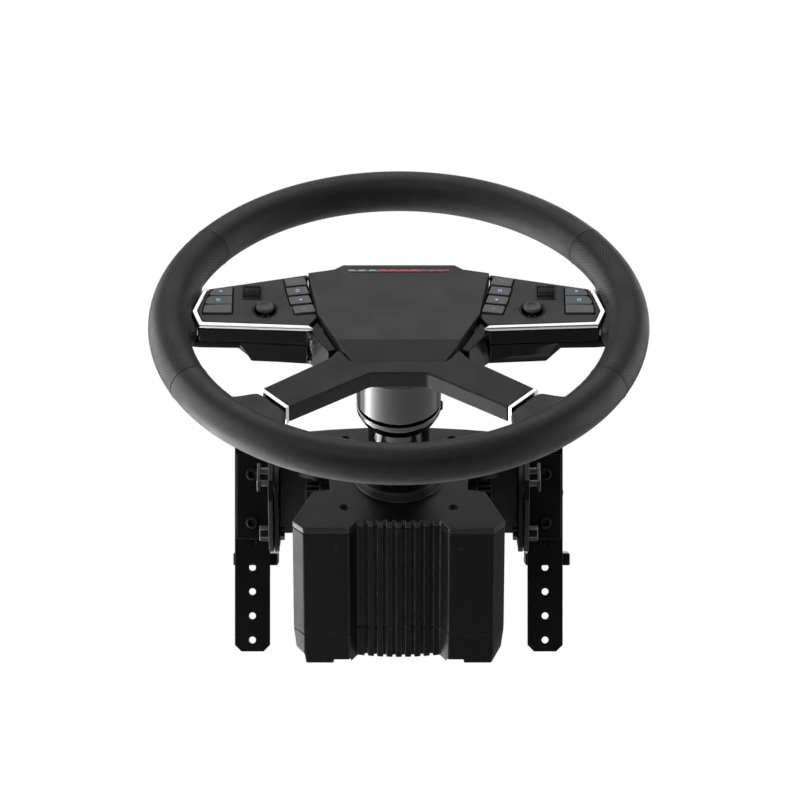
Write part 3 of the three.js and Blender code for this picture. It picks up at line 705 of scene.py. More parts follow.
# ---------- geometry node trees ----------
def tree_of(name, inputs):
    """A geometry node tree with a geometry input, named inputs and a geometry output."""
    tree = bpy.data.node_groups.new(name, "GeometryNodeTree")
    tree.interface.new_socket("Geometry", in_out="INPUT", socket_type="NodeSocketGeometry")
    for label, kind, default in inputs:
        socket = tree.interface.new_socket(label, in_out="INPUT", socket_type=kind)
        if default is not None:
            socket.default_value = default
    tree.interface.new_socket("Geometry", in_out="OUTPUT", socket_type="NodeSocketGeometry")
    return tree, tree.nodes.new("NodeGroupInput").outputs, tree.nodes.new("NodeGroupOutput").inputs


def finish_tree(tree, geometry, material, out):
    """Ends a tree in Realize Instances and Set Material."""
    real = node(tree, "GeometryNodeRealizeInstances")
    paint = node(tree, "GeometryNodeSetMaterial")
    tree.links.new(geometry, real.inputs["Geometry"])
    tree.links.new(real.outputs["Geometry"], paint.inputs["Geometry"])
    tree.links.new(material, paint.inputs["Material"])
    tree.links.new(paint.outputs["Geometry"], out["Geometry"])
    return tree


INTEGER, MATERIAL = "NodeSocketInt", "NodeSocketMaterial"


def row_tree():
    """Copies of a shape along a straight row."""
    tree, ins, outs = tree_of(
        "row of copies",
        [("Count", INTEGER, 4), ("Start", VECTOR, (0, 0, 0)), ("Step", VECTOR, (0, 0, 0.01)),
         ("Material", MATERIAL, None)],
    )
    line = node(tree, "GeometryNodeMeshLine", mode="OFFSET")
    tree.links.new(ins["Count"], line.inputs["Count"])
    tree.links.new(ins["Start"], line.inputs["Start Location"])
    tree.links.new(ins["Step"], line.inputs["Offset"])
    copies = node(tree, "GeometryNodeInstanceOnPoints")
    tree.links.new(line.outputs["Mesh"], copies.inputs["Points"])
    tree.links.new(ins["Geometry"], copies.inputs["Instance"])
    return finish_tree(tree, copies.outputs["Instances"], ins["Material"], outs)


def ring_tree():
    """Copies of a shape round a circle about Z, each turned to face outwards."""
    tree, ins, outs = tree_of(
        "ring of copies",
        [("Count", INTEGER, 12), ("Radius", FLOAT, 0.01), ("Material", MATERIAL, None)],
    )
    circle_mesh = node(tree, "GeometryNodeMeshCircle")
    tree.links.new(ins["Count"], circle_mesh.inputs["Vertices"])
    tree.links.new(ins["Radius"], circle_mesh.inputs["Radius"])
    index = node(tree, "GeometryNodeInputIndex").outputs["Index"]
    share = maths(tree, "DIVIDE", index, ins["Count"])
    turn = node(tree, "ShaderNodeCombineXYZ")
    tree.links.new(maths(tree, "MULTIPLY", share, 2 * math.pi), turn.inputs["Z"])
    copies = node(tree, "GeometryNodeInstanceOnPoints")
    tree.links.new(circle_mesh.outputs["Mesh"], copies.inputs["Points"])
    tree.links.new(ins["Geometry"], copies.inputs["Instance"])
    tree.links.new(turn.outputs["Vector"], copies.inputs["Rotation"])
    return finish_tree(tree, copies.outputs["Instances"], ins["Material"], outs)


HOLE_SIDES = 7
HOLE_LIFT = 0.05 * MM  # keeps a hole's disc clear of the leather


def perforation_tree():
    """Rows of small discs that lie on the nearest surface of the grip, over an arc of a torus."""
    tree, ins, outs = tree_of(
        "perforations",
        [("Columns", INTEGER, 60), ("Rows", INTEGER, 30), ("Middle", FLOAT, 0.0),
         ("Half arc", FLOAT, 0.5), ("Ring", FLOAT, 0.18), ("Tube", FLOAT, 0.016),
         ("Hole", FLOAT, 0.0005), ("Material", MATERIAL, None)],
    )
    index = node(tree, "GeometryNodeInputIndex").outputs["Index"]
    line = node(tree, "GeometryNodeMeshLine", mode="OFFSET")
    tree.links.new(maths(tree, "MULTIPLY", ins["Columns"], ins["Rows"]), line.inputs["Count"])
    column = maths(tree, "FLOOR", maths(tree, "DIVIDE", index, ins["Rows"]), 0.0)
    row = maths(tree, "MODULO", index, ins["Rows"])
    stagger = maths(tree, "MULTIPLY", maths(tree, "MODULO", column, 2.0), 0.5)
    around = maths(tree, "DIVIDE", maths(tree, "ADD", row, stagger), ins["Rows"])
    around = maths(tree, "MULTIPLY", around, 2 * math.pi)
    spread = maths(tree, "DIVIDE", maths(tree, "ADD", column, 0.5), ins["Columns"])
    spread = maths(tree, "MULTIPLY", maths(tree, "SUBTRACT", spread, 0.5), 2.0)
    along = maths(tree, "ADD", maths(tree, "MULTIPLY", spread, ins["Half arc"]), ins["Middle"])
    reach = maths(tree, "MULTIPLY", maths(tree, "COSINE", around, 0.0), ins["Tube"])
    reach = maths(tree, "ADD", reach, ins["Ring"])
    target = node(tree, "ShaderNodeCombineXYZ")
    for axis, operation in (("X", "COSINE"), ("Y", "SINE")):
        part = maths(tree, "MULTIPLY", maths(tree, operation, along, 0.0), reach)
        tree.links.new(part, target.inputs[axis])
    height = maths(tree, "MULTIPLY", maths(tree, "SINE", around, 0.0), ins["Tube"])
    tree.links.new(height, target.inputs["Z"])
    samples = []
    for source in (
        node(tree, "GeometryNodeInputPosition").outputs["Position"],
        node(tree, "GeometryNodeInputNormal").outputs["Normal"],
    ):
        sample = node(tree, "GeometryNodeSampleNearestSurface", data_type="FLOAT_VECTOR")
        tree.links.new(ins["Geometry"], sample.inputs["Mesh"])
        tree.links.new(source, sample.inputs["Value"])
        tree.links.new(target.outputs["Vector"], sample.inputs["Sample Position"])
        samples.append(sample.outputs["Value"])
    placed = node(tree, "GeometryNodeSetPosition")
    tree.links.new(line.outputs["Mesh"], placed.inputs["Geometry"])
    tree.links.new(samples[0], placed.inputs["Position"])
    disc = node(tree, "GeometryNodeMeshCircle", fill_type="NGON")
    disc.inputs["Vertices"].default_value = HOLE_SIDES
    tree.links.new(ins["Hole"], disc.inputs["Radius"])
    lift = node(tree, "GeometryNodeTransform")
    lift.inputs["Translation"].default_value = (0, 0, HOLE_LIFT)
    tree.links.new(disc.outputs["Mesh"], lift.inputs["Geometry"])
    align = node(tree, "FunctionNodeAlignRotationToVector", axis="Z")
    captured = node(tree, "GeometryNodeCaptureAttribute", domain="POINT")
    captured.capture_items.new("VECTOR", "Normal")
    tree.links.new(placed.outputs["Geometry"], captured.inputs["Geometry"])
    tree.links.new(samples[1], captured.inputs["Normal"])
    tree.links.new(captured.outputs["Normal"], align.inputs["Vector"])
    copies = node(tree, "GeometryNodeInstanceOnPoints")
    tree.links.new(captured.outputs["Geometry"], copies.inputs["Points"])
    tree.links.new(lift.outputs["Geometry"], copies.inputs["Instance"])
    tree.links.new(align.outputs["Rotation"], copies.inputs["Rotation"])
    return finish_tree(tree, copies.outputs["Instances"], ins["Material"], outs)


TREES = {}
TREE_MAKERS = {"row": row_tree, "ring": ring_tree, "perforations": perforation_tree}


def grown(piece, key, **values):
    """Runs a geometry node tree on a piece and keeps its result as a plain mesh."""
    if key not in TREES:
        TREES[key] = TREE_MAKERS[key]()
    modifier = piece.modifiers.new(key, "NODES")
    modifier.node_group = TREES[key]
    for socket in TREES[key].interface.items_tree:
        label = socket.name.replace(" ", "_").lower()
        if socket.item_type == "SOCKET" and socket.in_out == "INPUT" and label in values:
            modifier[socket.identifier] = values[label]
    return applied(piece)


def placed(piece, matrix):
    """Moves a piece's mesh, so that its object stays at the origin."""
    piece.data.transform(matrix)
    return piece


# ---------- pieces ----------
def made_of(shape, name, material, matrix, body, slot, *replaced):
    """A bmesh made into a settled piece, its mesh moved by a matrix."""
    return settle(placed(new_piece(name, shape, material), matrix), body, slot, *replaced)


def rim_angles(settings):
    """The middles of the two perforated stretches, right and left."""
    return settings.middle, math.pi - settings.middle


ROOT_MARGIN = 0.4 * MM  # least height of a spoke root above the round grip
ROOT_STEPS = 6  # how many edges far a root's weight spreads
ROOT_KEEP = 0.85  # share of its weight that it keeps over each edge
ROOT_FAINTEST = 0.01
SEAM_GAP = 0.008  # radians from the last perforations to the seam
SEAM_RADIUS = 0.3 * MM
SEAM_SUNK = 0.05 * MM  # from the leather in to the seam's middle


def add_smoothing(piece, name, factor, iterations, group=""):
    """A Smooth modifier, held to a vertex group where one is named."""
    modifier = piece.modifiers.new(name, "SMOOTH")
    modifier.factor = factor
    modifier.iterations = iterations
    modifier.vertex_group = group


def fine_grip(settings):
    """The leather as one skin: a fine torus joined to the spoke roots of the CAD grip."""
    rough = bmesh.new()
    rough.from_mesh(frame["nodes"]["rim_grip"].data)
    bmesh.ops.remove_doubles(rough, verts=rough.verts, dist=SAME_PLACE)
    rough.transform(TO_AXIS)
    whole = join_shapes([hoop(settings.ring, settings.grip, steps=240, sides=40), rough])
    grip = new_piece("rim_grip_leather", whole, leather())
    remesh = grip.modifiers.new("blend", "REMESH")
    remesh.mode = "VOXEL"
    remesh.voxel_size = settings.voxel
    remesh.use_smooth_shade = True
    applied(grip)
    group = grip.vertex_groups.new(name="roots")
    for index, weight in enumerate(root_weights(grip.data, settings)):
        if weight > ROOT_FAINTEST:
            group.add([index], float(weight), "REPLACE")
    add_smoothing(grip, "fillet", factor=0.6, iterations=45, group=group.name)
    add_smoothing(grip, "smooth", factor=0.5, iterations=8)
    return applied(grip)


def root_weights(mesh, settings):
    """1 on the spoke roots, falling to 0 a few voxels into the round grip beside them."""
    co = np.empty(len(mesh.vertices) * 3, np.float32)
    mesh.vertices.foreach_get("co", co)
    co = co.reshape(-1, 3)
    reach = np.hypot(np.hypot(co[:, 0], co[:, 1]) - settings.ring, co[:, 2])
    weights = (reach > settings.grip + ROOT_MARGIN).astype(np.float32)
    edges = np.empty(len(mesh.edges) * 2, np.int32)
    mesh.edges.foreach_get("vertices", edges)
    edges = edges.reshape(-1, 2)
    for _ in range(ROOT_STEPS):
        spread = weights.copy()
        np.maximum.at(spread, edges[:, 0], ROOT_KEEP * weights[edges[:, 1]])
        np.maximum.at(spread, edges[:, 1], ROOT_KEEP * weights[edges[:, 0]])
        weights = spread
    return weights


def perforations(grip, settings, middle, name):
    """One side's perforations, laid on the grip's own surface."""
    dots = bpy.data.objects.new(name, grip.data.copy())
    bpy.context.scene.collection.objects.link(dots)
    return grown(
        dots, "perforations", material=hole_painted_shade(), middle=middle, half_arc=settings.half_arc,
        ring=settings.ring, tube=settings.grip, hole=settings.hole,
        columns=round(2 * settings.half_arc * settings.ring / settings.pitch),
        rows=round(2 * math.pi * settings.grip / settings.pitch),
    )


def seams(settings):
    """Raised seams where the perforated leather meets the smooth leather."""
    hoops = []
    out = Matrix.Translation((settings.ring, 0, 0))
    upright = Matrix.Rotation(math.pi / 2, 4, "X")
    for middle in rim_angles(settings):
        for end in (-1, 1):
            turn = Matrix.Rotation(middle + end * (settings.half_arc + SEAM_GAP), 4, "Z")
            place = turn @ out @ upright
            hoops.append(hoop(settings.grip - SEAM_SUNK, SEAM_RADIUS, 64, 8, place))
    return join_shapes(hoops)


class RACING_OT_rim(Operator):
    """Leather grip with its roots, its perforations and its seams, and the core inside it"""

    bl_idname = "racing.rim"
    bl_label = "Rim"

    def execute(self, context):
        settings = context.scene.racing_rim
        grip = fine_grip(settings)
        for name, middle in zip(("right", "left"), rim_angles(settings)):
            dots = perforations(grip, settings, middle, name + "_perforations")
            settle(placed(dots, ON_AXIS), "wheel", "grip_leather")
        settle(placed(grip, ON_AXIS), "wheel", "grip_leather", "rim_grip")
        made_of(seams(settings), "rim_seams", seam_thread(), ON_AXIS, "wheel", "grip_leather")
        frame["nodes"]["rim_core"].data.materials.clear()
        frame["nodes"]["rim_core"].data.materials.append(raw_aluminium())
        return {"FINISHED"}


class RACING_OT_hub(Operator):
    """Hub fascia, lower spokes with their bright trim, and the rear hub cover"""

    bl_idname = "racing.hub"
    bl_label = "Hub"

    def execute(self, context):
        softened("hub_fascia", 0.9 * MM, segments=3, sharper_than=8.0)
        # the lower spoke cover takes the moulded panel darkened as painted shade
        softened("lower_spoke_cover", 1.6 * MM, panel_in_painted_shade(), segments=3)
        softened("rear_hub_cover", 0.7 * MM, segments=3)
        for side in SIDES:
            softened(side + "_lower_trim", 0.4 * MM)
        return {"FINISHED"}


LIGHT_HUES = (
    ("pale_green", (0.42, 0.52, 0.46), 0.35),
    ("red", (0.85, 0.05, 0.08), 0.55),
    ("dim_pink", (0.5, 0.1, 0.14), 0.3),
)
LIGHT_SHARES = (0.0, 0.3, 0.7, 1.0)  # where each hue's stretch of the row starts and ends
LIGHT_LENGTH = 0.33  # half of a light's length, as a share of the pitch
LIGHT_DEPTH = (-0.3, 0.35)  # MM from the lens's face


class RACING_OT_shift_lights(Operator):
    """The row of short, rounded lights in its tinted lens"""

    bl_idname = "racing.shift_lights"
    bl_label = "Shift lights"

    def execute(self, context):
        settings = context.scene.racing_controls
        softened("led_lens", 0.3 * MM)
        low, high = axis_box("led_lens")
        pitch = settings.light_pitch
        first = -(settings.lights - 1) / 2
        ends = [round(share * settings.lights) for share in LIGHT_SHARES]
        outline = rectangle(LIGHT_LENGTH * pitch / MM, settings.light_radius / MM)
        for (name, hue, strength), start, end in zip(LIGHT_HUES, ends, ends[1:]):
            dash = slab(outline, *LIGHT_DEPTH)
            round_edges(dash, 0.3 * MM, 2)
            lights = new_piece("shift_lights_" + name, dash, lens())
            grown(
                lights, "row", count=end - start, start=((first + start) * pitch, 0, 0),
                step=(pitch, 0, 0), material=lit("light " + name, hue, strength),
            )
            centre = Matrix.Translation((0, (low.y + high.y) / 2, high.z))
            settle(placed(lights, ON_AXIS @ centre), "wheel", "light_lens")
        return {"FINISHED"}


def window_frame(half_x, half_y, border, low, high):
    """A rectangular frame, in millimetres."""
    sides = [
        (-half_x - border, half_x + border, half_y, half_y + border),
        (-half_x - border, half_x + border, -half_y - border, -half_y),
        (-half_x - border, -half_x, -half_y, half_y),
        (half_x, half_x + border, -half_y, half_y),
    ]
    bars = [slab([(a, c), (b, c), (b, d), (a, d)], low, high) for a, b, c, d in sides]
    whole = join_shapes(bars)
    bmesh.ops.remove_doubles(whole, verts=whole.verts, dist=SAME_PLACE)
    return whole


STICK_HOLE = 8.8  # MM
# MM, out from the edge of the stick's hole, and place along the wheel's axis
BEZEL = [(0.1, -1.0), (1.7, -1.0), (2.0, 0.1), (1.5, 0.35), (0.8, 0.35), (0.1, -0.3)]
# outlines of the right pod's foot under the leather root, and of its seal to the hub
POD_FOOT = [(127, -3.8), (158, -3), (169, -1.5), (170, 12), (127, 14)]  # MM
FOOT_DEPTH = (-22.0, -16.1)  # MM
POD_SEAL = [(72.7, 65.6), (64.5, 11.2), (65.8, 9.0), (73.6, 65.4)]  # MM
SEAL_DEPTH = (-2.6, -0.9)  # MM


class RACING_OT_pods(Operator):
    """Both button pods: fascia, trim, housing with its foot and seal, stick bezel, roller frame"""

    bl_idname = "racing.pods"
    bl_label = "Pods"

    def execute(self, context):
        for side, sign in SIDES.items():
            softened(side + "_pod_fascia", 0.5 * MM)
            softened(side + "_pod_trim", 1.1 * MM, segments=3)
            softened(side + "_pod_housing", 1.0 * MM, segments=3, shortest=3.0)
            stick = TO_AXIS @ Vector(JOINT[side + "_stick_up_down"]["pos_m"])
            ring = lathe([(STICK_HOLE + wide, height) for wide, height in BEZEL], 48)
            centre = ON_AXIS @ Matrix.Translation((stick.x, stick.y, 0))
            made_of(ring, side + "_stick_bezel", gloss(), centre, "wheel", "gloss_panel")
            roller = TO_AXIS @ Vector(JOINT[side + "_roller_spin"]["pos_m"])
            surround = window_frame(half_x=6.5, half_y=7.9, border=1.5, low=-0.2, high=0.5)
            centre = ON_AXIS @ Matrix.Translation((roller.x, roller.y, 0))
            made_of(surround, side + "_roller_frame", panel(), centre, "wheel", "matte_panel")
            self.add_foot_and_seal(side, sign)
        return {"FINISHED"}

    def add_foot_and_seal(self, side, sign):
        foot = slab([(sign * x, y) for x, y in POD_FOOT], *FOOT_DEPTH)
        round_edges(foot, 0.9 * MM, 3)
        made_of(foot, side + "_pod_foot", gloss(), ON_AXIS, "wheel", "gloss_panel")
        seal = slab([(sign * x, y) for x, y in POD_SEAL], *SEAL_DEPTH)
        made_of(seal, side + "_pod_seal", rubber(), ON_AXIS, "wheel", "soft_black")


# generic signs as outlines of (x, y) points in millimetres
def sign_bar():
    return [rectangle(1.6, 0.35)]


def sign_cross():
    upright = [(x, y) for y, x in sign_bar()[0]]
    return sign_bar() + [upright[::-1]]


def sign_square():
    return [
        [(-1.4, -1.4), (1.4, -1.4), (1.4, -0.9), (-1.4, -0.9)],
        [(-1.4, 0.9), (1.4, 0.9), (1.4, 1.4), (-1.4, 1.4)],
        [(-1.4, -0.9), (-0.9, -0.9), (-0.9, 0.9), (-1.4, 0.9)],
        [(0.9, -0.9), (1.4, -0.9), (1.4, 0.9), (0.9, 0.9)],
    ]


def sign_wedge():
    return [[(-1.3, -1.2), (1.4, 0.0), (-1.3, 1.2)]]


SIGN_HUES = {
    "blue": ((0.25, 0.5, 1.0), 0.9),
    "violet": ((0.45, 0.4, 1.0), 0.9),
    "teal": ((0.2, 0.85, 0.75), 0.7),
    "grey": ((0.5, 0.52, 0.55), 0.15),
}
KEY_SIGNS = {
    "outer_button_1": (sign_wedge, "blue"),
    "outer_button_2": (sign_square, "teal"),
    "inner_button_1": (sign_bar, "grey"),
    "inner_button_2": (sign_square, "violet"),
    "inner_button_3": (sign_wedge, "teal"),
    "inner_button_4": (sign_cross, "grey"),
}
SIGN_DEPTH = (-0.1, 0.06)  # MM from the key's face
KEY_CORNER = 1.3  # MM
OUTBOARD_RADII = {"outer_button_1": 3.4, "outer_button_2": 3.4}  # MM


class RACING_OT_keys(Operator):
    """The fourteen keys with their lit signs"""

    bl_idname = "racing.keys"
    bl_label = "Keys"

    def execute(self, context):
        edge = context.scene.racing_controls.edge
        names = [f"outer_button_{i}" for i in (1, 2, 3)] + [f"inner_button_{i}" for i in (1, 2, 3, 4)]
        for side, sign in SIDES.items():
            for name in names:
                key = side + "_" + name
                softened(key, edge, segments=3, corners=self.radii(key, name))
                if name in KEY_SIGNS:
                    self.add_sign(key, name, sign)
        return {"FINISHED"}

    def radii(self, key, name):
        """The outer keys' outboard corners are rounder than their other corners."""
        low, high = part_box(key)
        middle = abs(low.x + high.x) / 2
        outboard = OUTBOARD_RADII.get(name, KEY_CORNER) * MM
        return lambda edge: outboard if abs(edge.verts[0].co.x) > middle else KEY_CORNER * MM

    def add_sign(self, key, name, sign):
        outlines, hue = KEY_SIGNS[name]
        low, high = axis_box(key)
        shape = join_shapes([slab(outline, *SIGN_DEPTH) for outline in outlines()])
        centre = Matrix.Translation(((low.x + high.x) / 2, (low.y + high.y) / 2, high.z))
        turn = Matrix.Rotation(math.pi if sign < 0 else 0.0, 4, "Z")
        material = lit("sign " + hue, *SIGN_HUES[hue])
        made_of(shape, key + "_sign", material, ON_AXIS @ centre @ turn, BODY[key], "key_plastic")


STICK_PROFILE = [  # MM, radius, and place along the wheel's axis
    (0, -11.5), (1.8, -11.5), (1.8, 0), (6.3, 0.9), (6.9, 1.4), (7.1, 2.0), (7.1, 2.8), (6.7, 3.8),
    (5.9, 4.35), (5.2, 4.35), (4.5, 3.9), (3.4, 3.3), (1.8, 3.0), (0, 2.9),
]
NOTCH_RADIUS, NOTCH_RING = 0.45, 6.9  # MM
NOTCH_DEPTH = (1.5, 3.3)  # MM


class RACING_OT_sticks(Operator):
    """Thumb sticks with dished, notched caps, on their gimbals"""

    bl_idname = "racing.sticks"
    bl_label = "Thumb sticks"

    def execute(self, context):
        notches = context.scene.racing_controls.knurls
        for side in SIDES:
            pivot = TO_AXIS @ Vector(JOINT[side + "_stick_up_down"]["pos_m"])
            place = ON_AXIS @ Matrix.Translation((pivot.x, pivot.y, 0))
            body = BODY[side + "_stick"]
            made_of(
                lathe(STICK_PROFILE, 48), side + "_stick_cap", stick_rubber(), place, body,
                "soft_black", side + "_stick",
            )
            notch = slab(circle(NOTCH_RADIUS, 8), *NOTCH_DEPTH)
            ring = new_piece(side + "_stick_notches", notch, stick_rubber())
            grown(ring, "ring", count=notches, radius=NOTCH_RING * MM, material=stick_rubber())
            settle(placed(ring, place), body, "soft_black")
            softened(side + "_stick_gimbal", 0.3 * MM)
        return {"FINISHED"}


RIB = [(-0.5, -0.4), (0.15, -0.4), (0.35, 0), (0.15, 0.4), (-0.5, 0.4)]  # MM, out and round
RIB_RING, RIB_HALF_LENGTH = 6.6, 5.2  # MM


class RACING_OT_rollers(Operator):
    """Ribbed thumb rollers on their axles"""

    bl_idname = "racing.rollers"
    bl_label = "Rollers"

    def execute(self, context):
        ribs = context.scene.racing_controls.ribs
        for side in SIDES:
            softened(side + "_roller", 0.5 * MM, segments=3)
            rib = slab(RIB, -RIB_HALF_LENGTH, RIB_HALF_LENGTH)
            ring = new_piece(side + "_roller_ribs", rib, rubber())
            grown(ring, "ring", count=ribs, radius=RIB_RING * MM, material=rubber())
            centre = Matrix.Translation(Vector(JOINT[side + "_roller_spin"]["pos_m"]))
            settle(
                placed(ring, centre @ Matrix.Rotation(math.pi / 2, 4, "Y")),
                BODY[side + "_roller"], "soft_black",
            )
        return {"FINISHED"}


RELEASE_TAB = [(32.5, -4.5), (35.2, -3), (35.6, 0), (35.2, 3), (32.5, 4.5)]  # MM
RELEASE_TAB_DEPTH = (-84, -79.5)  # MM


class RACING_OT_quick_release(Operator):
    """Quick-release adapter, its sliding collar with a release tab, and the drive shaft"""

    bl_idname = "racing.quick_release"
    bl_label = "Quick release"

    def execute(self, context):
        softened("qr_adapter", 0.9 * MM, turned_black(), segments=3)
        softened("qr_release_collar", 0.9 * MM, turned_black(), segments=3)
        softened("drive_shaft", 0.6 * MM, turned_black())
        tab = slab(RELEASE_TAB, *RELEASE_TAB_DEPTH)
        made_of(tab, "release_tab", dark_steel(), ON_AXIS, BODY["qr_release_collar"], "black_aluminium")
        return {"FINISHED"}


FLANGE_SCREWS = [(43.5, 47.5), (-43.5, 47.5), (43.8, -43.5), (-43.8, -43.5)]  # MM
FLANGE_SCREW_HEAD = 3.2 * MM
SCREW_FLOOR = -156.0  # MM, where the flange's screw heads stand
PAD_DOTS = [(-50.0, -173.0), (50.0, -173.0)]  # MM, x and out
PAD_SCREW = [(0, -0.3), (1.5, -0.3), (1.5, 0.1), (1.1, 0.2), (0.9, -0.1), (0, -0.2)]  # MM
COVER_SCREWS = [(66, 44), (-66, 44), (66, -52), (-66, -52), (0, -52), (0, 44)]  # MM
COVER_SCREW_HEAD = 2.6 * MM
COVER_SCREW_SUNK = 1.9  # MM into the rear cover
# MM: x, y, half width and half height
PORTS = [(-37, 23, 5.4, 3.2), (-12, 23, 4.4, 1.9), (9, 22.5, 5.6, 4.6), (29, 22.5, 5.6, 4.6)]
PORT_SUNK, PORT_WALL, PORT_DEPTH = 2.0, 0.7, (-0.5, 1.6)  # MM
PORT_CORE = (0.8, 0.4)  # shares of the port's half width and half height
PORT_CORE_DEPTH = (-0.4, 1.1)  # MM


class RACING_OT_motor_base(Operator):
    """The motor base: front flange, finned housing, rear cover, screws and ports"""

    bl_idname = "racing.motor_base"
    bl_label = "Motor base"

    def execute(self, context):
        edge = context.scene.racing_metal.edge
        softened("front_flange", edge)
        # the motor housing and rear cover take the black anodised darkened as painted shade
        softened("motor_housing", edge, anodised_in_painted_shade())
        softened("rear_cover", edge, anodised_in_painted_shade())
        self.add_flange_screws()
        self.add_pad_dots()
        self.add_back()
        return {"FINISHED"}

    def add_flange_screws(self):
        for index, (x, y) in enumerate(FLANGE_SCREWS):
            made_of(
                cap_screw(FLANGE_SCREW_HEAD), f"flange_screw_{index + 1}", dark_steel(),
                on_axis(x, y, SCREW_FLOOR), "base", "dark_steel",
            )

    def add_pad_dots(self):
        under = axis_box("motor_housing")[0]
        down = Matrix.Rotation(math.pi / 2, 4, "X")
        for index, (x, out) in enumerate(PAD_DOTS):
            dot = lathe(PAD_SCREW, 20)
            place = ON_AXIS @ Matrix.Translation((x * MM, under.y, out * MM)) @ down
            made_of(dot, f"pad_screw_{index + 1}", dark_steel(), place, "base", "dark_steel")

    def add_back(self):
        back = axis_box("rear_cover")[0].z / MM
        away = Matrix.Rotation(math.pi, 4, "X")
        for index, (x, y) in enumerate(COVER_SCREWS):
            made_of(
                cap_screw(COVER_SCREW_HEAD), f"cover_screw_{index + 1}", dark_steel(),
                on_axis(x, y, back + COVER_SCREW_SUNK) @ away, "base", "dark_steel",
            )
        for index, (x, y, wide, tall) in enumerate(PORTS):
            shell = window_frame(wide, tall, PORT_WALL, *PORT_DEPTH)
            place = on_axis(x, y, back + PORT_SUNK) @ away
            made_of(shell, f"port_{index + 1}", bright_steel(), place, "base", "steel")
            core = rectangle(wide * PORT_CORE[0], tall * PORT_CORE[1])
            made_of(
                slab(core, *PORT_CORE_DEPTH), f"port_{index + 1}_core", port_dark(), place,
                "base", "black_plastic",
            )


COILS, COIL_RING = 18, 44 * MM
COIL_HALF_SIZE = (3.2, 4)  # MM, out and round
COIL_DEPTH = (-1.3, 2.2)  # MM from the stator's back


class RACING_OT_inside(Operator):
    """Motor parts and the control board inside the base"""

    bl_idname = "racing.inside"
    bl_label = "Inside"

    def execute(self, context):
        for name in ("stator", "rotor", "front_bearing", "rear_bearing", "control_board"):
            softened(name, 0.3 * MM)
        coil = slab(rectangle(*COIL_HALF_SIZE), *COIL_DEPTH)
        round_edges(coil, 1.0 * MM, 2)
        coils = new_piece("stator_coils", coil, winding())
        grown(coils, "ring", count=COILS, radius=COIL_RING, material=winding())
        back = Matrix.Translation((0, 0, axis_box("stator")[0].z))
        settle(placed(coils, ON_AXIS @ back), "base", "winding")
        return {"FINISHED"}


class RACING_OT_cradle(Operator):
    """The tilting cradle with its lock studs, and the pivot bolts"""

    bl_idname = "racing.cradle"
    bl_label = "Cradle"

    def execute(self, context):
        edge = context.scene.racing_metal.sheet_edge
        softened("cradle", edge)
        for side in SIDES:
            softened(side + "_tilt_lock", 0.5 * MM)
            softened(side + "_pivot_bolt", 0.6 * MM)
        return {"FINISHED"}


HANGER_SCREWS = (-24.5, -40.0)  # MM: height of the upper screw, and the step to the lower one


class RACING_OT_clamp(Operator):
    """The desk clamp: hangers, side plates, jaws and the cap screws on the hangers"""

    bl_idname = "racing.clamp"
    bl_label = "Desk clamp"

    def execute(self, context):
        settings = context.scene.racing_metal
        for side in SIDES:
            softened(side + "_hanger", settings.sheet_edge)
            softened(side + "_side_plate", settings.sheet_edge)
            softened(side + "_jaw", 2 * settings.sheet_edge)
            screws = new_piece(side + "_hanger_screws", cap_screw(settings.screw_head), dark_steel())
            grown(
                screws, "row", count=2, start=(0, 0, 0), step=(0, HANGER_SCREWS[1] * MM, 0),
                material=dark_steel(),
            )
            low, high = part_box(side + "_hanger")
            middle = (low.x + high.x) / 2
            place = Matrix.Translation((middle, plate_face(side), HANGER_SCREWS[0] * MM))
            settle(placed(screws, place @ Matrix.Rotation(math.pi / 2, 4, "X")), "clamp", "dark_steel")
        return {"FINISHED"}


def plate_face(side):
    """How far forward the side plate's flange stands in front of the hanger's bar."""
    low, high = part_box(side + "_hanger")
    corners = [vertex.co for vertex in frame["nodes"][side + "_side_plate"].data.vertices]
    return min(corner.y for corner in corners if abs(corner.x) > abs(low.x + high.x) / 2)


THREAD_FOOT, THREAD_FLANK, THREAD_CREST = 3.5, 3.9, 4.2  # MM, radii
THREAD_SIDES = 20
THREAD_START, THREAD_SPARE = 1.5 * MM, 10 * MM  # bare shank at the lower end, and in all


class RACING_OT_clamp_screws(Operator):
    """Threaded clamp screws with their pads"""

    bl_idname = "racing.clamp_screws"
    bl_label = "Clamp screws"

    def execute(self, context):
        pitch = context.scene.racing_metal.thread_pitch
        for side in SIDES:
            softened(side + "_clamp_pad", 0.7 * MM, segments=3)
            softened(side + "_clamp_screw", 0.3 * MM)
            low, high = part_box(side + "_clamp_screw")
            tall = 0.98 * pitch / MM
            profile = [
                (THREAD_FOOT, 0), (THREAD_FLANK, 0), (THREAD_CREST, 0.4 * tall),
                (THREAD_CREST, 0.6 * tall), (THREAD_FLANK, tall), (THREAD_FOOT, tall),
            ]
            thread = lathe(profile, THREAD_SIDES)
            threads = new_piece(side + "_thread", thread, dark_steel())
            grown(
                threads, "row", count=int((high.z - low.z - THREAD_SPARE) / pitch), start=(0, 0, 0),
                step=(0, 0, pitch), material=dark_steel(),
            )
            middle = (low + high) / 2
            place = Matrix.Translation((middle.x, middle.y, low.z + THREAD_START))
            settle(placed(threads, place), BODY[side + "_clamp_screw"], "dark_steel")
        return {"FINISHED"}


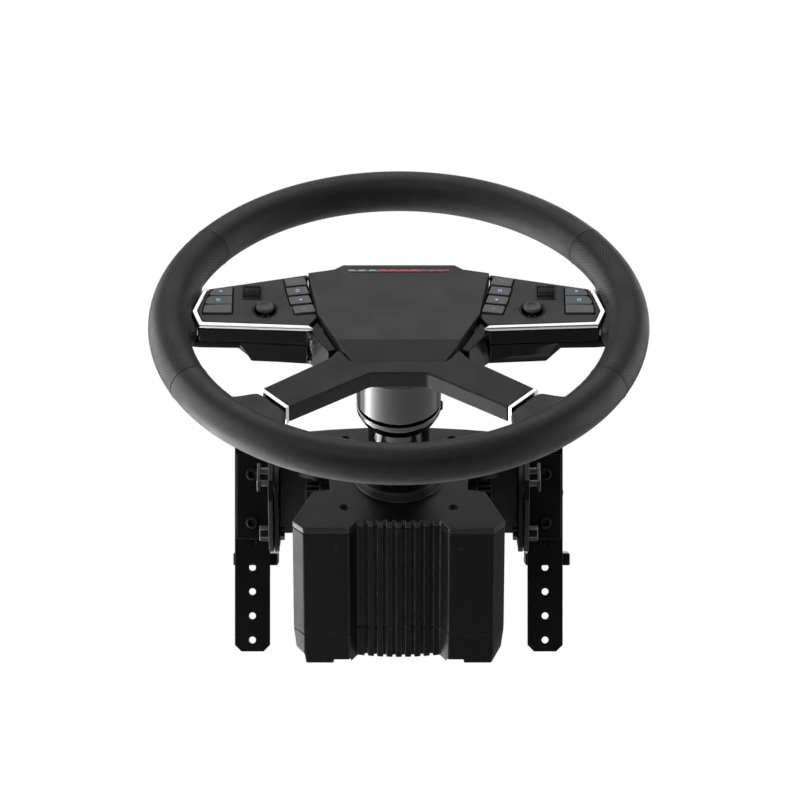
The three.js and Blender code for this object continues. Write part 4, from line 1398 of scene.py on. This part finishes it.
# ---------- stage ----------
# name, place, point that it faces, width and height in metres, watts, spread in degrees
LIGHTS = (
    ("left light", (-2.2, 0.4, 0.5), (0, -0.1, 0), 3.6, 2.2, 84.0, 180.0),
    ("right light", (2.3, 0.4, 0.5), (0, -0.1, 0), 3.4, 2.2, 34.0, 180.0),
    ("top light", (0.0, 0.5, 2.5), (0, -0.15, 0.1), 2.4, 1.8, 17.0, 180.0),
    ("front light", (-0.8, -3.4, 2.6), (0, -0.1, 0), 1.6, 1.2, 20.0, 180.0),
    ("back light", (0.6, 2.8, 1.0), (0, -0.1, 0), 2.0, 1.6, 22.0, 180.0),
    ("floor light", (-1.15, 0.35, 0.25), (-1.0, 0.3, -0.52), 0.5, 0.5, 34.0, 100.0),
)
SENSOR_WIDTH, LENS, FARTHEST = 36.0, 282.15, 50.0  # the camera's: MM, MM and metres
CAMERA_SHIFT = 1.0 * MM  # to the driver's right
FLOOR_THICK = 10  # MM
FLOOR_BASE, FLOOR_SEEN = 0.6, 0.93  # the floor's grey in the light, and to the camera


def soft_box(name, place, aim, wide, tall, power, spread):
    """A rectangular area light that faces a point and that no camera sees."""
    light = bpy.data.lights.new(name, "AREA")
    light.shape = "RECTANGLE"
    light.size = wide
    light.size_y = tall
    light.energy = power
    light.spread = math.radians(spread)
    lamp = bpy.data.objects.new(name, light)
    bpy.context.scene.collection.objects.link(lamp)
    lamp.visible_camera = False
    lamp.location = place
    lamp.rotation_euler = (Vector(aim) - Vector(place)).to_track_quat("-Z", "Y").to_euler()


def studio_world():
    """A pale surround: bright to the camera, dim as a light, and darkest where the camera stands."""
    world = bpy.data.worlds.new("studio")
    world.use_nodes = True
    tree = world.node_tree
    lighting = tree.nodes["Background"]
    lighting.inputs["Color"].default_value = (1, 1, 1, 1)
    facing = node(tree, "ShaderNodeSeparateXYZ")
    tree.links.new(node(tree, "ShaderNodeTexCoord").outputs["Generated"], facing.inputs[0])
    dim = ramp(tree, facing.outputs["Y"], low=-0.9, high=-0.3, start=0.03, end=0.24)
    tree.links.new(dim, lighting.inputs["Strength"])
    seen = node(tree, "ShaderNodeBackground")
    seen.inputs["Color"].default_value = (1, 1, 1, 1)
    mixed = node(tree, "ShaderNodeMixShader")
    tree.links.new(node(tree, "ShaderNodeLightPath").outputs["Is Camera Ray"], mixed.inputs[0])
    tree.links.new(lighting.outputs[0], mixed.inputs[1])
    tree.links.new(seen.outputs[0], mixed.inputs[2])
    tree.links.new(mixed.outputs[0], tree.nodes["World Output"].inputs["Surface"])
    bpy.context.scene.world = world


class RACING_OT_stage(Operator):
    """Pale floor, soft studio lights and the camera"""

    bl_idname = "racing.stage"
    bl_label = "Stage"

    def execute(self, context):
        settings = context.scene.racing_stage
        pale = finish("pale floor", [FLOOR_BASE] * 3, "moulded", 40.0, 0.05, 0.02, (0.8, 0.9))
        self.seen_pale(pale)
        radius = settings.floor_radius / MM
        profile = [(0, -FLOOR_THICK), (radius, -FLOOR_THICK), (radius, 0), (0, 0)]
        floor = new_piece("floor", lathe(profile, 96), pale)
        placed(floor, Matrix.Translation((0, 0, -settings.floor_drop)))
        studio_world()
        for light in LIGHTS:
            soft_box(*light)
        lens_data = bpy.data.cameras.new("camera")
        lens_data.sensor_width = SENSOR_WIDTH
        lens_data.lens = LENS
        lens_data.clip_end = FARTHEST
        camera = bpy.data.objects.new("camera", lens_data)
        context.scene.collection.objects.link(camera)
        camera.location = (CAMERA_SHIFT, -settings.distance, settings.height)
        camera.rotation_euler = (math.pi / 2, 0, 0)
        context.scene.camera = camera
        context.scene.view_settings.view_transform = "Standard"
        return {"FINISHED"}

    def seen_pale(self, material):
        """The camera sees the floor as evenly pale; lights and reflections see it as it is lit."""
        tree = material.node_tree
        even = node(tree, "ShaderNodeEmission")
        even.inputs["Color"].default_value = (FLOOR_SEEN, FLOOR_SEEN, FLOOR_SEEN, 1)
        even.inputs["Strength"].default_value = 1.0
        mixed = node(tree, "ShaderNodeMixShader")
        tree.links.new(node(tree, "ShaderNodeLightPath").outputs["Is Camera Ray"], mixed.inputs[0])
        tree.links.new(tree.nodes["Principled BSDF"].outputs[0], mixed.inputs[1])
        tree.links.new(even.outputs[0], mixed.inputs[2])
        tree.links.new(mixed.outputs[0], tree.nodes["Material Output"].inputs["Surface"])


# ---------- the add-on ----------
SETTINGS = {
    "racing_rim": RimSettings,
    "racing_controls": ControlSettings,
    "racing_metal": MetalSettings,
    "racing_stage": StageSettings,
}
OPERATORS = (
    RACING_OT_stage,
    RACING_OT_rim,
    RACING_OT_hub,
    RACING_OT_shift_lights,
    RACING_OT_pods,
    RACING_OT_keys,
    RACING_OT_sticks,
    RACING_OT_rollers,
    RACING_OT_quick_release,
    RACING_OT_motor_base,
    RACING_OT_inside,
    RACING_OT_cradle,
    RACING_OT_clamp,
    RACING_OT_clamp_screws,
)


class RACING_PT_panel(Panel):
    """Lists the wheel's sizes and the operators that make its pieces"""

    bl_idname = "RACING_PT_panel"
    bl_label = "Racing wheel"
    bl_space_type = "VIEW_3D"
    bl_region_type = "UI"
    bl_category = "Racing wheel"

    def draw(self, context):
        for name, settings in SETTINGS.items():
            column = self.layout.box().column()
            for key in settings.__annotations__:
                column.prop(getattr(context.scene, name), key)
        for operator in OPERATORS:
            self.layout.operator(operator.bl_idname)


def register():
    for entry in (*SETTINGS.values(), *OPERATORS, RACING_PT_panel):
        bpy.utils.register_class(entry)
    for name, settings in SETTINGS.items():
        setattr(bpy.types.Scene, name, PointerProperty(type=settings))


def unregister():
    for name in SETTINGS:
        delattr(bpy.types.Scene, name)
    for entry in reversed((*SETTINGS.values(), *OPERATORS, RACING_PT_panel)):
        bpy.utils.unregister_class(entry)


def main():
    register()
    for operator in OPERATORS:
        group, name = operator.bl_idname.split(".")
        getattr(getattr(bpy.ops, group), name)()


if __name__ == "__main__":
    main()
